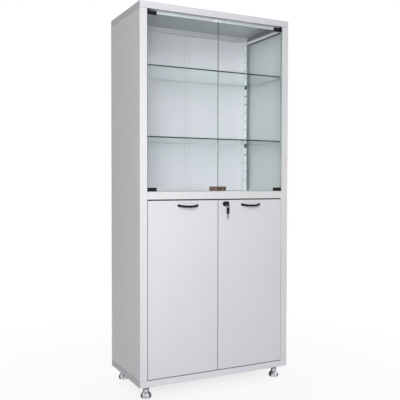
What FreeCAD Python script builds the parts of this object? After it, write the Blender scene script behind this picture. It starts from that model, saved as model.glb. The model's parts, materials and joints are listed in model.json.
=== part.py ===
import FreeCAD, Part
import math
import os
import re
import Sketcher

# Medical cabinet: glazed upper space, closed lower space, four levelling feet.
# X runs to the right, Y to the back, Z up from the floor. Lengths are millimetres.

doc = FreeCAD.newDocument("medical_cabinet")

SIZES = {
    # case
    "case_width": 800,
    "case_depth": 400,
    "case_height": 1750,
    "sheet": 1,
    "lip_height": 31,
    "flange_width": 18,
    "base_flange": 76,
    "bend_radius": 1.5,
    "upright_width": 36,
    "upright_return": 20,
    "upright_inner": 18,
    "post_depth": 27,
    "seam_offset": 27,
    "seam_strip_width": 38,
    "stop_height": 16,
    "stop_trim": 40,
    "deck_height": 894.5,
    "deck_flange": 20,
    "rail_height": 35.5,
    "roof_rail_height": 14,
    "panel_bolt_radius": 3,
    "panel_bolt_head": 5,
    "panel_bolt_head_height": 3,
    "panel_bolt_proud": 5,
    # fits
    "fit_gap": 0.2,
    "running_gap": 0.05,
    "free_gap": 0.5,
    "overrun": 5,
    # shelves and clips
    "slot_width": 12,
    "slot_height": 5,
    "slot_pitch": 46.5,
    "slot_start_upper": 59,
    "slot_start_lower": 80,
    "slot_drop": 4,
    "shelf_glass": 6,
    "shelf_side_gap": 4,
    "shelf_front_gap": 3,
    "shelf_back_gap": 4,
    "shelf_corner": 8,
    "shelf_bevel": 0.6,
    "steel_shelf_lip": 25,
    "steel_shelf_return": 12,
    "clip_width": 13,
    "clip_reach": 14,
    "clip_height": 12,
    "clip_thick": 2,
    # feet
    "foot_height": 60,
    "foot_inset": 47,
    "foot_radius": 24.5,
    "foot_sole_radius": 21.5,
    "foot_edge_low": 4,
    "foot_edge_high": 15,
    "foot_neck": 30,
    "foot_stud_radius": 5,
    "foot_stud_length": 38,
    "foot_notch_width": 3,
    "foot_notch_depth": 2,
    "foot_notches": 8,
    "foot_notch_turn": 18.5,
    "sleeve_radius": 13.5,
    "sleeve_length": 26,
    "sleeve_spigot_radius": 8,
    "sleeve_spigot_length": 4,
    # glass doors
    "meeting_gap": 2.5,
    "glass_thick": 4,
    "glass_recess": 4,
    "glass_edge_gap": 3,
    "glass_bevel": 0.5,
    "glass_top_gap": 8,
    "glass_bottom_gap": 1.5,
    "hinge_width": 44,
    "hinge_height": 17,
    "hinge_depth": 12,
    "hinge_cap": 2.5,
    "hinge_side_gap": 2.5,
    "hinge_corner": 2,
    "glass_pivot_inset": 9,
    "glass_pin_radius": 2.5,
    "pin_proud": 3,
    "bush_collar": 5,
    "bush_spigot": 3.8,
    "bush_spigot_length": 2,
    "clamp_screw_radius": 2,
    "clamp_screw_proud": 0.6,
    "clamp_screw_inset": 12,
    "catch_width": 28,
    "catch_height": 12,
    "catch_drop": 6,
    # glass door lock
    "clip_wall": 1.5,
    "clip_front": 3,
    "glass_lock_width": 42,
    "glass_lock_height": 21.5,
    "glass_lock_rear": 10,
    "glass_lock_edge": 2.5,
    "glass_lock_rise": 10,
    "glass_lock_pad": 7.5,
    "glass_lock_pad_proud": 2,
    "glass_lock_plug_radius": 5,
    "glass_lock_plug_proud": 1,
    "glass_lock_plug_inset": 9,
    "glass_lock_screw_inset": 31,
    "glass_lock_screw_radius": 4.5,
    "glass_lock_cam_length": 22,
    "glass_lock_cam_width": 10,
    "glass_lock_cam_thick": 2,
    "strike_width": 40,
    "strike_edge": 4,
    "strike_rear": 3,
    "keyway_depth": 6,
    # steel doors
    "door_gap": 2,
    "door_top_gap": 5.5,
    "door_bottom_gap": 2.5,
    "door_depth": 19,
    "door_lip": 9,
    "door_stop_gap": 1,
    "door_pivot_inset": 12,
    "pivot_back": 6,
    "pivot_block_width": 20,
    "pivot_block_depth": 12,
    "pivot_block_height": 18,
    "door_pin_radius": 3,
    "door_pin_clear": 0.3,
    "stiffener_width": 60,
    "stiffener_flange": 14,
    "stiffener_depth": 12,
    "stiffener_drop": 90,
    "stiffener_rise": 20,
    "handle_pitch": 96,
    "handle_reach": 28,
    "handle_bar": 5.2,
    "handle_foot_radius": 6.5,
    "handle_foot_height": 3,
    "handle_drop": 24,
    "handle_droop": 4,
    "left_handle_offset": 160,
    "right_handle_offset": 181,
    "handle_screw_radius": 2,
    "handle_screw_seat": 4.5,
    "handle_screw_head": 4,
    "handle_screw_head_height": 2.5,
    # steel door lock and keys
    "lock_offset": 37,
    "lock_drop": 18.5,
    "lock_rim_radius": 12,
    "lock_rim_proud": 3,
    "lock_rim_round": 1.2,
    "lock_barrel_radius": 9,
    "lock_barrel_length": 20,
    "lock_nut_radius": 13,
    "lock_nut_height": 4,
    "lock_plug_radius": 6.5,
    "lock_plug_tail": 2,
    "lock_plug_proud": 0.6,
    "lock_cam_length": 34,
    "lock_cam_width": 13,
    "lock_cam_thick": 2,
    "key_thick": 2,
    "key_width": 8,
    "key_play": 0.2,
    "key_depth": 15,
    "key_neck": 7,
    "key_head_length": 28,
    "key_head_height": 24,
    "key_head_thick": 5,
    "key_head_round": 8.5,
    "key_eye_radius": 2.2,
    "key_eye_inset": 7,
    "ring_radius": 9.5,
    "ring_wire": 0.75,
    "ring_play": 0.56,
    "spare_head_length": 32,
    "spare_head_width": 20,
    "spare_eye_inset": 5,
    "spare_blade_length": 24,
}

# Places worked out from the sizes. Half widths are measured from the middle plane.
PLACES = {
    "half_width": "case_width / 2",
    "front_reach": "lock_rim_proud + key_neck + key_head_length - key_eye_inset + spare_head_width / 2",
    "front": "(front_reach - case_depth) / 2",
    "back": "front + case_depth",
    "case_bottom": "foot_height",
    "case_top": "foot_height + case_height",
    "roof_seam": "case_top - lip_height",
    "base_seam": "case_bottom + lip_height",
    "deck_top": "case_bottom + deck_height",
    "rail_bottom": "deck_top - rail_height",
    "inner_wall": "half_width - sheet",
    "upright_edge": "half_width - upright_width",
    "upright_back": "front + upright_return",
    "flange_face": "back - 2 * sheet",
    "post_face": "back - post_depth",
    "stop_half": "upright_edge - stop_trim",
    "upper_slot": "deck_top + slot_start_upper",
    "lower_slot": "base_seam + slot_start_lower",
    "upper_slot_room": "roof_seam - slot_start_upper - upper_slot",
    "lower_slot_room": "rail_bottom - slot_start_lower - lower_slot",
    "upper_slot_steps": "floor(upper_slot_room / slot_pitch)",
    "lower_slot_steps": "floor(lower_slot_room / slot_pitch)",
    "slot_x": "upright_edge + upright_inner / 2",
    "foot_x": "half_width - foot_inset",
    "foot_front": "front + foot_inset",
    "foot_rear": "back - foot_inset",
    "sleeve_bottom": "case_bottom - sleeve_length",
    "glass_front": "front + glass_recess",
    "glass_back": "glass_front + glass_thick",
    "glass_middle": "glass_front + glass_thick / 2",
    "hinge_front": "glass_middle - hinge_depth / 2",
    "hinge_back": "glass_middle + hinge_depth / 2",
    "hinge_outer": "upright_edge - hinge_side_gap",
    "hinge_inner": "hinge_outer - hinge_width",
    "hinge_top": "roof_seam - glass_top_gap",
    "hinge_bottom": "deck_top + glass_bottom_gap",
    "glass_top": "hinge_top - hinge_cap",
    "glass_bottom": "hinge_bottom + hinge_cap",
    "glass_outer": "upright_edge - glass_edge_gap",
    "meeting": "meeting_gap / 2",
    "glass_pivot_x": "upright_edge - glass_pivot_inset",
    "lock_clip_front": "glass_front - clip_front",
    "lock_clip_bottom": "glass_bottom - clip_wall",
    "lock_clip_top": "lock_clip_bottom + glass_lock_height",
    "glass_lock_back": "glass_back + glass_lock_rear",
    "glass_lock_z": "glass_bottom + glass_lock_rise",
    "glass_plug_x": "glass_lock_edge + glass_lock_plug_inset",
    "glass_screw_x": "glass_lock_edge + glass_lock_screw_inset",
    "glass_pad_front": "lock_clip_front - glass_lock_pad_proud",
    "glass_plug_front": "glass_pad_front - glass_lock_plug_proud",
    "glass_cam_front": "glass_lock_back + free_gap",
    "glass_cam_back": "glass_cam_front + glass_lock_cam_thick",
    "door_bottom": "base_seam + door_bottom_gap",
    "door_top": "rail_bottom - door_top_gap",
    "door_outer": "upright_edge - door_gap",
    "door_back": "front + door_depth",
    "door_middle": "(door_outer + meeting) / 2",
    "door_stop": "door_back + door_stop_gap",
    "door_pivot_x": "upright_edge - door_pivot_inset",
    "pivot_y": "front + pivot_back",
    "door_skin": "front + sheet",
    "handle_z": "door_top - handle_drop",
    "handle_radius": "(handle_pitch * handle_pitch / 4 + handle_reach * handle_reach) / (2 * handle_reach)",
    "handle_sink": "handle_radius - handle_reach",
    "handle_tilt": "asin(handle_droop / handle_reach)",
    "lock_z": "door_top - lock_drop",
    "rim_face": "front - lock_rim_proud",
    "barrel_back": "front + lock_barrel_length",
    "plug_back": "barrel_back + lock_plug_tail",
    "cam_back": "plug_back + lock_cam_thick",
    "key_shoulder": "rim_face - key_neck",
    "key_tip": "key_shoulder - key_head_length",
    "eye_y": "key_tip + key_eye_inset",
    "ring_sink": "key_eye_radius - ring_wire - ring_play",
    "ring_z": "lock_z - ring_sink - ring_radius",
    "spare_eye_z": "ring_z - ring_radius - ring_sink",
    "spare_top": "spare_eye_z + spare_eye_inset",
    "spare_bottom": "spare_top - spare_head_length",
}

# Where the case bolts stand along the depth, and the clamp screws along a hinge.
BOLT_SHARES = (0.18, 0.5, 0.82)
SCREW_SHARES = (0.25, 0.6)

# How far up its row of slots each shelf hangs.
LOWER_GLASS_SHARE = 0.28
UPPER_GLASS_SHARE = 0.75
STEEL_SHELF_SHARE = 0.52

# How much of a plug's or screw's radius its slot takes to each side.
KEYWAY_SHARE = 0.66
SCREW_SLOT_SHARE = 0.7

LEFT = -1
RIGHT = 1
SIDES = {"left": LEFT, "right": RIGHT}
ACROSS = FreeCAD.Vector(1, 0, 0)
INWARD = FreeCAD.Vector(0, 1, 0)
UP = FreeCAD.Vector(0, 0, 1)
QUARTER = 90
HEX_SIDES = 6
TINY = 1e-5

sheet = doc.addObject("Spreadsheet::Sheet", "Sizes")
for row, (alias, size) in enumerate(SIZES.items(), start=1):
    sheet.set("A%d" % row, alias)
    sheet.set("B%d" % row, str(size))
    sheet.setAlias("B%d" % row, alias)
doc.recompute()

NODES = []
WORD = re.compile(r"[a-z][a-z_]*")


# Names to expressions

def formula(text):
    def swap(found):
        word = found.group(0)
        if word in PLACES:
            return "(" + formula(PLACES[word]) + ")"
        if word in SIZES:
            return "Sizes." + word
        return word
    return WORD.sub(swap, str(text))


def bind(thing, **lengths):
    for name, text in lengths.items():
        thing.setExpression(name, formula(text))


def seat(thing, x, y, z):
    for axis, text in zip("xyz", (x, y, z)):
        thing.setExpression("Placement.Base." + axis, formula(text))


def turn(thing, axis, angle):
    thing.Placement = FreeCAD.Placement(FreeCAD.Vector(), FreeCAD.Rotation(axis, QUARTER))
    thing.setExpression("Placement.Rotation.Angle", formula(angle))


def across(side, inner, outer):
    if side == RIGHT:
        return (inner, outer)
    return ("-(%s)" % outer, "-(%s)" % inner)


def both(half):
    return ("-(%s)" % half, half)


def about(middle, half):
    return ("%s - (%s)" % (middle, half), "%s + (%s)" % (middle, half))


def on_side(side, place):
    return place if side == RIGHT else "-(%s)" % place


# Primitives shared by bodies and by groups

TURNS = {
    "x": FreeCAD.Rotation(INWARD, QUARTER),
    "y": FreeCAD.Rotation(ACROSS, -QUARTER),
    "z": FreeCAD.Rotation(),
}


def shape_box(box, x, y, z):
    bind(box, Length="(%s) - (%s)" % (x[1], x[0]), Width="(%s) - (%s)" % (y[1], y[0]),
         Height="(%s) - (%s)" % (z[1], z[0]))
    seat(box, x[0], y[0], z[0])


def shape_rod(rod, axis, place, span, radius):
    rod.Placement = FreeCAD.Placement(FreeCAD.Vector(), TURNS[axis])
    bind(rod, Radius=radius, Height="(%s) - (%s)" % (span[1], span[0]))
    first, second = place
    seats = {"x": (span[0], first, second), "y": (first, span[0], second), "z": (first, second, span[0])}
    seat(rod, *seats[axis])


def block(x, y, z):
    box = doc.addObject("Part::Box", "block")
    shape_box(box, x, y, z)
    return box


def rod(axis, place, span, radius):
    round_bar = doc.addObject("Part::Cylinder", "rod")
    shape_rod(round_bar, axis, place, span, radius)
    return round_bar


def join(*shapes):
    fused = doc.addObject("Part::MultiFuse", "join")
    fused.Shapes = list(shapes)
    return fused


def cut(base, tool):
    less = doc.addObject("Part::Cut", "cut")
    less.Base = base
    less.Tool = tool
    return less


def node(thing, label):
    thing.Label = label
    NODES.append(thing)
    return thing


def group(label, shapes):
    bundle = doc.addObject("Part::Compound", label)
    bundle.Links = list(shapes)
    return node(bundle, label)


# Bodies

def body(label):
    return node(doc.addObject("PartDesign::Body", label), label)


def grow(piece, x, y, z):
    box = piece.newObject("PartDesign::AdditiveBox", "grow")
    shape_box(box, x, y, z)
    return box


def carve(piece, x, y, z):
    box = piece.newObject("PartDesign::SubtractiveBox", "carve")
    shape_box(box, x, y, z)
    return box


def stud(piece, axis, place, span, radius):
    round_bar = piece.newObject("PartDesign::AdditiveCylinder", "stud")
    shape_rod(round_bar, axis, place, span, radius)
    return round_bar


def drill(piece, axis, place, span, radius):
    hole = piece.newObject("PartDesign::SubtractiveCylinder", "hole")
    shape_rod(hole, axis, place, span, radius)
    return hole


def origin_feature(piece, role):
    return [item for item in piece.Origin.OriginFeatures if item.Role == role][0]


def repeat_up(piece, feature, pitch, steps):
    row = piece.newObject("PartDesign::LinearPattern", "row")
    row.Originals = [feature]
    row.Direction = (origin_feature(piece, "Z_Axis"), [""])
    bind(row, Length="(%s) * (%s)" % (pitch, steps), Occurrences="%s + 1" % steps)
    piece.Tip = row


def repeat_round(piece, feature, count):
    ring = piece.newObject("PartDesign::PolarPattern", "ring")
    ring.Originals = [feature]
    ring.Axis = (origin_feature(piece, "Z_Axis"), [""])
    ring.Angle = 360
    bind(ring, Occurrences=count)
    piece.Tip = ring


def edge_names(piece, wanted):
    whole = piece.Shape.BoundBox
    names = []
    for number, edge in enumerate(piece.Shape.Edges, start=1):
        if wanted(edge.BoundBox, whole):
            names.append("Edge%d" % number)
    return names


def dress(piece, kind, length_name, length, wanted):
    doc.recompute()
    base = piece.Tip
    names = edge_names(piece, wanted)
    finish = piece.newObject("PartDesign::" + kind, kind.lower())
    finish.Base = (base, names)
    finish.setExpression(length_name, formula(length))
    piece.Tip = finish


def soften(piece, radius, wanted):
    dress(piece, "Fillet", "Radius", radius, wanted)


def bevel(piece, size, wanted):
    dress(piece, "Chamfer", "Size", size, wanted)


def same(first, second):
    return abs(first - second) < TINY


def flat_on(low, high, whole_low, whole_high):
    return same(low, high) and (same(low, whole_low) or same(low, whole_high))


def outer_edges(edge, whole):
    sides = (flat_on(edge.XMin, edge.XMax, whole.XMin, whole.XMax),
             flat_on(edge.YMin, edge.YMax, whole.YMin, whole.YMax),
             flat_on(edge.ZMin, edge.ZMax, whole.ZMin, whole.ZMax))
    return sum(sides) == 2


def upright_edges(edge, whole):
    return (flat_on(edge.XMin, edge.XMax, whole.XMin, whole.XMax)
            and flat_on(edge.YMin, edge.YMax, whole.YMin, whole.YMax))


def front_corner_edges(edge, whole):
    return upright_edges(edge, whole) and same(edge.YMin, whole.YMin)


def front_edges(edge, whole):
    return outer_edges(edge, whole) and same(edge.YMax, whole.YMin)


def front_faced_edges(edge, whole):
    return outer_edges(edge, whole) and same(edge.YMin, whole.YMin)


def side_edges(edge, whole):
    return (flat_on(edge.YMin, edge.YMax, whole.YMin, whole.YMax)
            and flat_on(edge.ZMin, edge.ZMax, whole.ZMin, whole.ZMax))


def front_side_edges(edge, whole):
    return side_edges(edge, whole) and same(edge.YMin, whole.YMin)


def outline(piece, plane, points):
    sketch = piece.newObject("Sketcher::SketchObject", "outline")
    sketch.AttachmentSupport = [(origin_feature(piece, plane), "")]
    sketch.MapMode = "FlatFace"
    count = len(points)
    for number in range(count):
        angle = 2 * math.pi * number / count
        after = 2 * math.pi * (number + 1) / count
        sketch.addGeometry(Part.LineSegment(FreeCAD.Vector(math.cos(angle), math.sin(angle), 0),
                                            FreeCAD.Vector(math.cos(after), math.sin(after), 0)), False)
    for number in range(count):
        sketch.addConstraint(Sketcher.Constraint("Coincident", number, 2, (number + 1) % count, 1))
    for number, place in enumerate(points):
        for kind, axis, text in (("DistanceX", -2, place[0]), ("DistanceY", -1, place[1])):
            if text == "0":
                sketch.addConstraint(Sketcher.Constraint("PointOnObject", number, 1, axis))
                continue
            which = sketch.addConstraint(Sketcher.Constraint(kind, -1, 1, number, 1, 1.0))
            sketch.setExpression("Constraints[%d]" % which, formula(text))
    return sketch


def turned(piece, points):
    sketch = outline(piece, "XZ_Plane", points)
    round_form = piece.newObject("PartDesign::Revolution", "turned")
    round_form.Profile = (sketch, [""])
    round_form.ReferenceAxis = (sketch, ["V_Axis"])
    round_form.Angle = 360


# Case

def roof():
    piece = body("roof")
    grow(piece, both("half_width"), ("front", "back"), ("roof_seam", "case_top"))
    carve(piece, both("inner_wall"), ("front + sheet", "back - sheet"),
          ("roof_seam + sheet", "case_top - sheet"))
    soften(piece, "bend_radius", outer_edges)
    carve(piece, both("half_width - flange_width"), ("upright_back", "back - flange_width"),
          ("roof_seam - overrun", "roof_seam + 2 * sheet"))
    grow(piece, both("upright_edge - fit_gap"), ("upright_back - sheet", "upright_back"),
         ("roof_seam - stop_height", "roof_seam + sheet"))
    for side in SIDES.values():
        drill(piece, "z", (on_side(side, "glass_pivot_x"), "glass_middle"),
              ("roof_seam - overrun", "roof_seam + overrun"), "bush_spigot")
        for share in BOLT_SHARES:
            drill(piece, "z", bolt_place(side, share), ("roof_seam - overrun", "roof_seam + overrun"),
                  "panel_bolt_radius")


def base():
    piece = body("base")
    grow(piece, both("half_width"), ("front", "back"), ("case_bottom", "base_seam"))
    carve(piece, both("inner_wall"), ("front + sheet", "back - sheet"),
          ("case_bottom + sheet", "base_seam - sheet"))
    soften(piece, "bend_radius", outer_edges)
    carve(piece, both("half_width - base_flange"), ("front + base_flange", "back - base_flange"),
          ("case_bottom - overrun", "case_bottom + 2 * sheet"))
    grow(piece, both("stop_half"), ("door_stop", "door_stop + sheet"),
         ("base_seam - sheet", "base_seam + stop_height"))
    for side in SIDES.values():
        drill(piece, "z", (on_side(side, "door_pivot_x"), "pivot_y"),
              ("base_seam - overrun", "base_seam + overrun"), "bush_spigot")
        for depth in ("foot_front", "foot_rear"):
            drill(piece, "z", (on_side(side, "foot_x"), depth),
                  ("case_bottom - overrun", "case_bottom + overrun"), "sleeve_spigot_radius")
        for share in BOLT_SHARES:
            drill(piece, "z", bolt_place(side, share), ("base_seam - overrun", "base_seam + overrun"),
                  "panel_bolt_radius")


def bolt_place(side, share):
    return (on_side(side, "half_width - flange_width / 2"), "front + case_depth * %g" % share)


def slot_row(piece, x, y, row):
    slot = carve(piece, about(x, "slot_width / 2"), y, about(row + "_slot", "slot_height / 2"))
    repeat_up(piece, slot, "slot_pitch", row + "_slot_steps")


def side_panel(name, side):
    piece = body(name + "_side_panel")
    height = ("base_seam", "roof_seam")
    grow(piece, across(side, "inner_wall", "half_width"), ("front", "back - sheet"), height)
    grow(piece, across(side, "upright_edge", "half_width"), ("front", "front + sheet"), height)
    grow(piece, across(side, "upright_edge", "upright_edge + sheet"), ("front", "upright_back"), height)
    grow(piece, across(side, "upright_edge", "upright_edge + upright_inner"),
         ("upright_back - sheet", "upright_back"), height)
    post_side = across(side, "upright_edge", "upright_edge + sheet")
    grow(piece, across(side, "upright_edge", "half_width"), ("flange_face", "back - sheet"), height)
    grow(piece, post_side, ("post_face", "back - sheet"), height)
    grow(piece, across(side, "upright_edge", "upright_edge + upright_inner"),
         ("post_face", "post_face + sheet"), height)
    soften(piece, "bend_radius", front_corner_edges)
    top = across(side, "half_width - flange_width", "inner_wall + sheet / 2")
    depth = ("upright_back + fit_gap", "post_face - fit_gap")
    grow(piece, top, depth, ("roof_seam - sheet", "roof_seam"))
    grow(piece, top, depth, ("base_seam", "base_seam + sheet"))
    for share in BOLT_SHARES:
        drill(piece, "z", bolt_place(side, share), ("base_seam - overrun", "base_seam + overrun"),
              "panel_bolt_radius")
        drill(piece, "z", bolt_place(side, share), ("roof_seam - overrun", "roof_seam + overrun"),
              "panel_bolt_radius")
    for depth in (("post_face - overrun", "post_face + 2 * sheet"),
                  ("upright_back - 2 * sheet", "upright_back + overrun")):
        slot_row(piece, on_side(side, "slot_x"), depth, "upper")
        slot_row(piece, on_side(side, "slot_x"), depth, "lower")


def back_panels():
    height = ("base_seam", "roof_seam")
    for name, span in (("back_panel_left", ("-half_width", "seam_offset")),
                       ("back_panel_right", ("seam_offset", "half_width"))):
        piece = body(name)
        grow(piece, span, ("back - sheet", "back"), height)
    strip = body("back_seam_strip")
    grow(strip, about("seam_offset", "seam_strip_width / 2"), ("flange_face", "back - sheet"), height)


def middle_deck():
    piece = body("middle_deck")
    rail = both("upright_edge - fit_gap")
    depth = ("upright_back + fit_gap", "post_face - fit_gap")
    rear = "flange_face - fit_gap"
    stop_back = "door_stop + sheet"
    grow(piece, rail, ("front", "front + sheet"), ("rail_bottom", "deck_top"))
    grow(piece, rail, ("front", rear), ("deck_top - sheet", "deck_top"))
    grow(piece, rail, ("front", stop_back), ("rail_bottom", "rail_bottom + sheet"))
    soften(piece, "bend_radius", front_side_edges)
    grow(piece, both("stop_half"), ("door_stop", stop_back),
         ("rail_bottom - stop_height", "rail_bottom + sheet"))
    grow(piece, both("inner_wall - fit_gap"), depth, ("deck_top - sheet", "deck_top"))
    for side in SIDES.values():
        grow(piece, across(side, "inner_wall - fit_gap - sheet", "inner_wall - fit_gap"), depth,
             ("deck_top - deck_flange", "deck_top"))
        drill(piece, "z", (on_side(side, "glass_pivot_x"), "glass_middle"),
              ("deck_top - overrun", "deck_top + overrun"), "bush_spigot")
        drill(piece, "z", (on_side(side, "door_pivot_x"), "pivot_y"),
              ("rail_bottom - overrun", "rail_bottom + overrun"), "bush_spigot")
    grow(piece, rail, (rear + " - sheet", rear), ("deck_top - deck_flange", "deck_top"))


def roof_rails():
    top = "roof_seam - sheet"
    bottom = top + " - roof_rail_height"
    depth = ("upright_back + fit_gap", "post_face")
    rails = []
    for side in SIDES.values():
        inner = "half_width - flange_width"
        upright = block(across(side, inner, inner + " + sheet"), depth, (bottom, top))
        level = block(across(side, inner, "inner_wall"), depth, (bottom, bottom + " + sheet"))
        rails.append(join(upright, level))
    group("roof_rails", rails)


def panel_bolts():
    bolts = []
    for seam, way in (("roof_seam", 1), ("base_seam", -1)):
        for side in SIDES.values():
            for share in BOLT_SHARES:
                spot = bolt_place(side, share)
                inside = "%s - sheet * %d" % (seam, way)
                tip = "%s + panel_bolt_proud * %d" % (seam, way)
                crown = "%s - panel_bolt_head_height * %d" % (inside, way)
                head_span = (crown, inside) if way > 0 else (inside, crown)
                shank_span = (inside, tip) if way > 0 else (tip, inside)
                bolts.append(join(rod("z", spot, head_span, "panel_bolt_head"),
                                  rod("z", spot, shank_span, "panel_bolt_radius")))
    group("panel_bolts", bolts)


# Shelves

def shelf_slot(row, share):
    return "%s_slot + slot_pitch * floor(%s_slot_steps * %g)" % (row, row, share)


def shelf_level(row, share):
    return shelf_slot(row, share) + " + slot_drop"


SHELF_DEPTH = ("upright_back + shelf_front_gap", "post_face - shelf_back_gap")


def glass_shelf(label, share):
    piece = body(label)
    level = shelf_level("upper", share)
    grow(piece, both("half_width - shelf_side_gap"), SHELF_DEPTH, (level, level + " + shelf_glass"))
    soften(piece, "shelf_corner", upright_edges)
    bevel(piece, "shelf_bevel", lambda edge, whole: flat_on(edge.ZMin, edge.ZMax, whole.ZMin, whole.ZMax))


def steel_shelf():
    piece = body("steel_shelf")
    level = shelf_level("lower", STEEL_SHELF_SHARE)
    half = "half_width - shelf_side_gap"
    low, high = SHELF_DEPTH
    top = level + " + steel_shelf_lip"
    grow(piece, both(half), SHELF_DEPTH, (level, top))
    soften(piece, "bend_radius", outer_edges)
    carve(piece, both(half + " - sheet"), (low + " + sheet", high + " - sheet"),
          (level + " + sheet", top + " - sheet"))
    carve(piece, both(half + " - steel_shelf_return"),
          (low + " + steel_shelf_return", high + " - steel_shelf_return"),
          (level + " - overrun", level + " + 2 * sheet"))


def shelf_clip(x, face, way, level, slot):
    wide = about(x, "clip_width / 2")
    spans = []
    for reach in ("clip_reach", "clip_thick"):
        spans.append((face, face + " + " + reach) if way > 0 else (face + " - " + reach, face))
    tongue = (face + " - sheet", face) if way > 0 else (face, face + " + sheet")
    ledge = block(wide, spans[0], (level + " - clip_thick", level))
    plate = block(wide, spans[1], (level + " - clip_height", level))
    hook = block(about(x, "slot_width / 2 - fit_gap"), tongue, about(slot, "slot_height / 2 - fit_gap"))
    return join(ledge, plate, hook)


def shelf_clips(label, row, share):
    level = shelf_level(row, share)
    slot = shelf_slot(row, share)
    clips = []
    for side in SIDES.values():
        clips.append(shelf_clip(on_side(side, "slot_x"), "upright_back", 1, level, slot))
        clips.append(shelf_clip(on_side(side, "slot_x"), "post_face", -1, level, slot))
    group(label, clips)


# Feet

def foot_sleeves():
    sleeves = []
    for side in SIDES.values():
        for depth in ("foot_front", "foot_rear"):
            spot = (on_side(side, "foot_x"), depth)
            spigot_top = "case_bottom + sleeve_spigot_length"
            tube = rod("z", spot, ("sleeve_bottom", "case_bottom"), "sleeve_radius")
            spigot = rod("z", spot, ("case_bottom", spigot_top), "sleeve_spigot_radius")
            bore = rod("z", spot, ("sleeve_bottom - overrun", spigot_top + " + overrun"),
                       "foot_stud_radius + running_gap")
            sleeves.append(cut(join(tube, spigot), bore))
    group("foot_sleeves", sleeves)


def foot(label, side, depth):
    piece = body(label)
    turned(piece, [
        ("0", "0"),
        ("foot_sole_radius", "0"),
        ("foot_radius", "foot_edge_low"),
        ("foot_radius", "foot_edge_high"),
        ("sleeve_radius", "foot_neck"),
        ("sleeve_radius", "sleeve_bottom"),
        ("foot_stud_radius", "sleeve_bottom"),
        ("foot_stud_radius", "sleeve_bottom + foot_stud_length"),
        ("0", "sleeve_bottom + foot_stud_length"),
    ])
    notch = carve(piece, ("foot_radius - foot_notch_depth", "foot_radius + overrun"),
                  both("foot_notch_width / 2"), ("-overrun", "foot_edge_high + overrun"))
    repeat_round(piece, notch, "foot_notches")
    turn(piece, UP, "foot_notch_turn")
    seat(piece, on_side(side, "foot_x"), depth, "0")


# Pivots

def bush(spot, seat_plane, way, collar_height, bore):
    collar_end = "%s + (%s) * %d" % (seat_plane, collar_height, way)
    spigot_end = "%s - bush_spigot_length * %d" % (seat_plane, way)
    collar_span = (seat_plane, collar_end) if way > 0 else (collar_end, seat_plane)
    spigot_span = (spigot_end, seat_plane) if way > 0 else (seat_plane, spigot_end)
    solid = join(rod("z", spot, collar_span, "bush_collar"), rod("z", spot, spigot_span, "bush_spigot"))
    hole_span = (seat_plane + " - 2 * overrun", seat_plane + " + 2 * overrun")
    return cut(solid, rod("z", spot, hole_span, bore + " + running_gap"))


def pivot_bushes():
    glass = []
    steel = []
    for side in SIDES.values():
        glass_spot = (on_side(side, "glass_pivot_x"), "glass_middle")
        glass.append(bush(glass_spot, "roof_seam", -1, "glass_top_gap - free_gap", "glass_pin_radius"))
        glass.append(bush(glass_spot, "deck_top", 1, "glass_bottom_gap - free_gap", "glass_pin_radius"))
        steel_spot = (on_side(side, "door_pivot_x"), "pivot_y")
        steel.append(bush(steel_spot, "rail_bottom", -1, "door_top_gap - free_gap", "door_pin_radius"))
        steel.append(bush(steel_spot, "base_seam", 1, "door_bottom_gap - free_gap", "door_pin_radius"))
    group("glass_pivot_bushes", glass)
    group("door_pivot_bushes", steel)


# Glass doors

def glass_pane(name, side):
    piece = body(name + "_glass_pane")
    grow(piece, across(side, "meeting", "glass_outer"), ("glass_front", "glass_back"),
         ("glass_bottom", "glass_top"))
    bevel(piece, "glass_bevel", outer_edges)
    if side == RIGHT:
        through = ("glass_front - overrun", "glass_back + overrun")
        drill(piece, "y", ("glass_plug_x", "glass_lock_z"), through, "glass_lock_plug_radius + free_gap")
        drill(piece, "y", ("glass_screw_x", "glass_lock_z"), through, "clamp_screw_radius + free_gap")


def glass_hinge(name, side, end):
    piece = body("%s_glass_%s_hinge" % (name, end))
    if end == "top":
        height = ("hinge_top - hinge_height", "hinge_top")
        slot = ("hinge_top - hinge_height - overrun", "glass_top")
        pin = ("glass_top", "hinge_top + overrun")
    else:
        height = ("hinge_bottom", "hinge_bottom + hinge_height")
        slot = ("glass_bottom", "hinge_bottom + hinge_height + overrun")
        pin = ("hinge_bottom - overrun", "glass_bottom")
    grow(piece, across(side, "hinge_inner", "hinge_outer"), ("hinge_front", "hinge_back"), height)
    soften(piece, "hinge_corner", upright_edges)
    carve(piece, across(side, "hinge_inner - overrun", "glass_outer"), ("glass_front", "glass_back"), slot)
    drill(piece, "z", (on_side(side, "glass_pivot_x"), "glass_middle"), pin, "glass_pin_radius")
    for x, z in clamp_screw_spots(side, end):
        drill(piece, "y", (x, z), ("glass_back", "hinge_back + overrun"), "clamp_screw_radius")


def clamp_screw_spots(side, end):
    rise = "hinge_height - clamp_screw_inset"
    z = "hinge_top - hinge_height + " + rise if end == "top" else "hinge_bottom + hinge_height - (%s)" % rise
    return [(on_side(side, "hinge_inner + hinge_width * %g" % share), z) for share in SCREW_SHARES]


def glass_pins(name, side):
    spot = (on_side(side, "glass_pivot_x"), "glass_middle")
    top = rod("z", spot, ("glass_top", "roof_seam + pin_proud"), "glass_pin_radius")
    low = rod("z", spot, ("deck_top - pin_proud", "glass_bottom"), "glass_pin_radius")
    group(name + "_glass_pins", [top, low])


def glass_screws(name, side):
    span = ("glass_back", "hinge_back + clamp_screw_proud")
    spots = clamp_screw_spots(side, "top") + clamp_screw_spots(side, "bottom")
    group(name + "_glass_screws", [rod("y", spot, span, "clamp_screw_radius") for spot in spots])


def glass_door_catch():
    piece = body("glass_door_catch")
    grow(piece, both("catch_width / 2"), ("glass_back + free_gap", "upright_back - sheet"),
         ("roof_seam - catch_drop - catch_height", "roof_seam - catch_drop"))
    soften(piece, "free_gap", front_edges)


# Glass door lock

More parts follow.
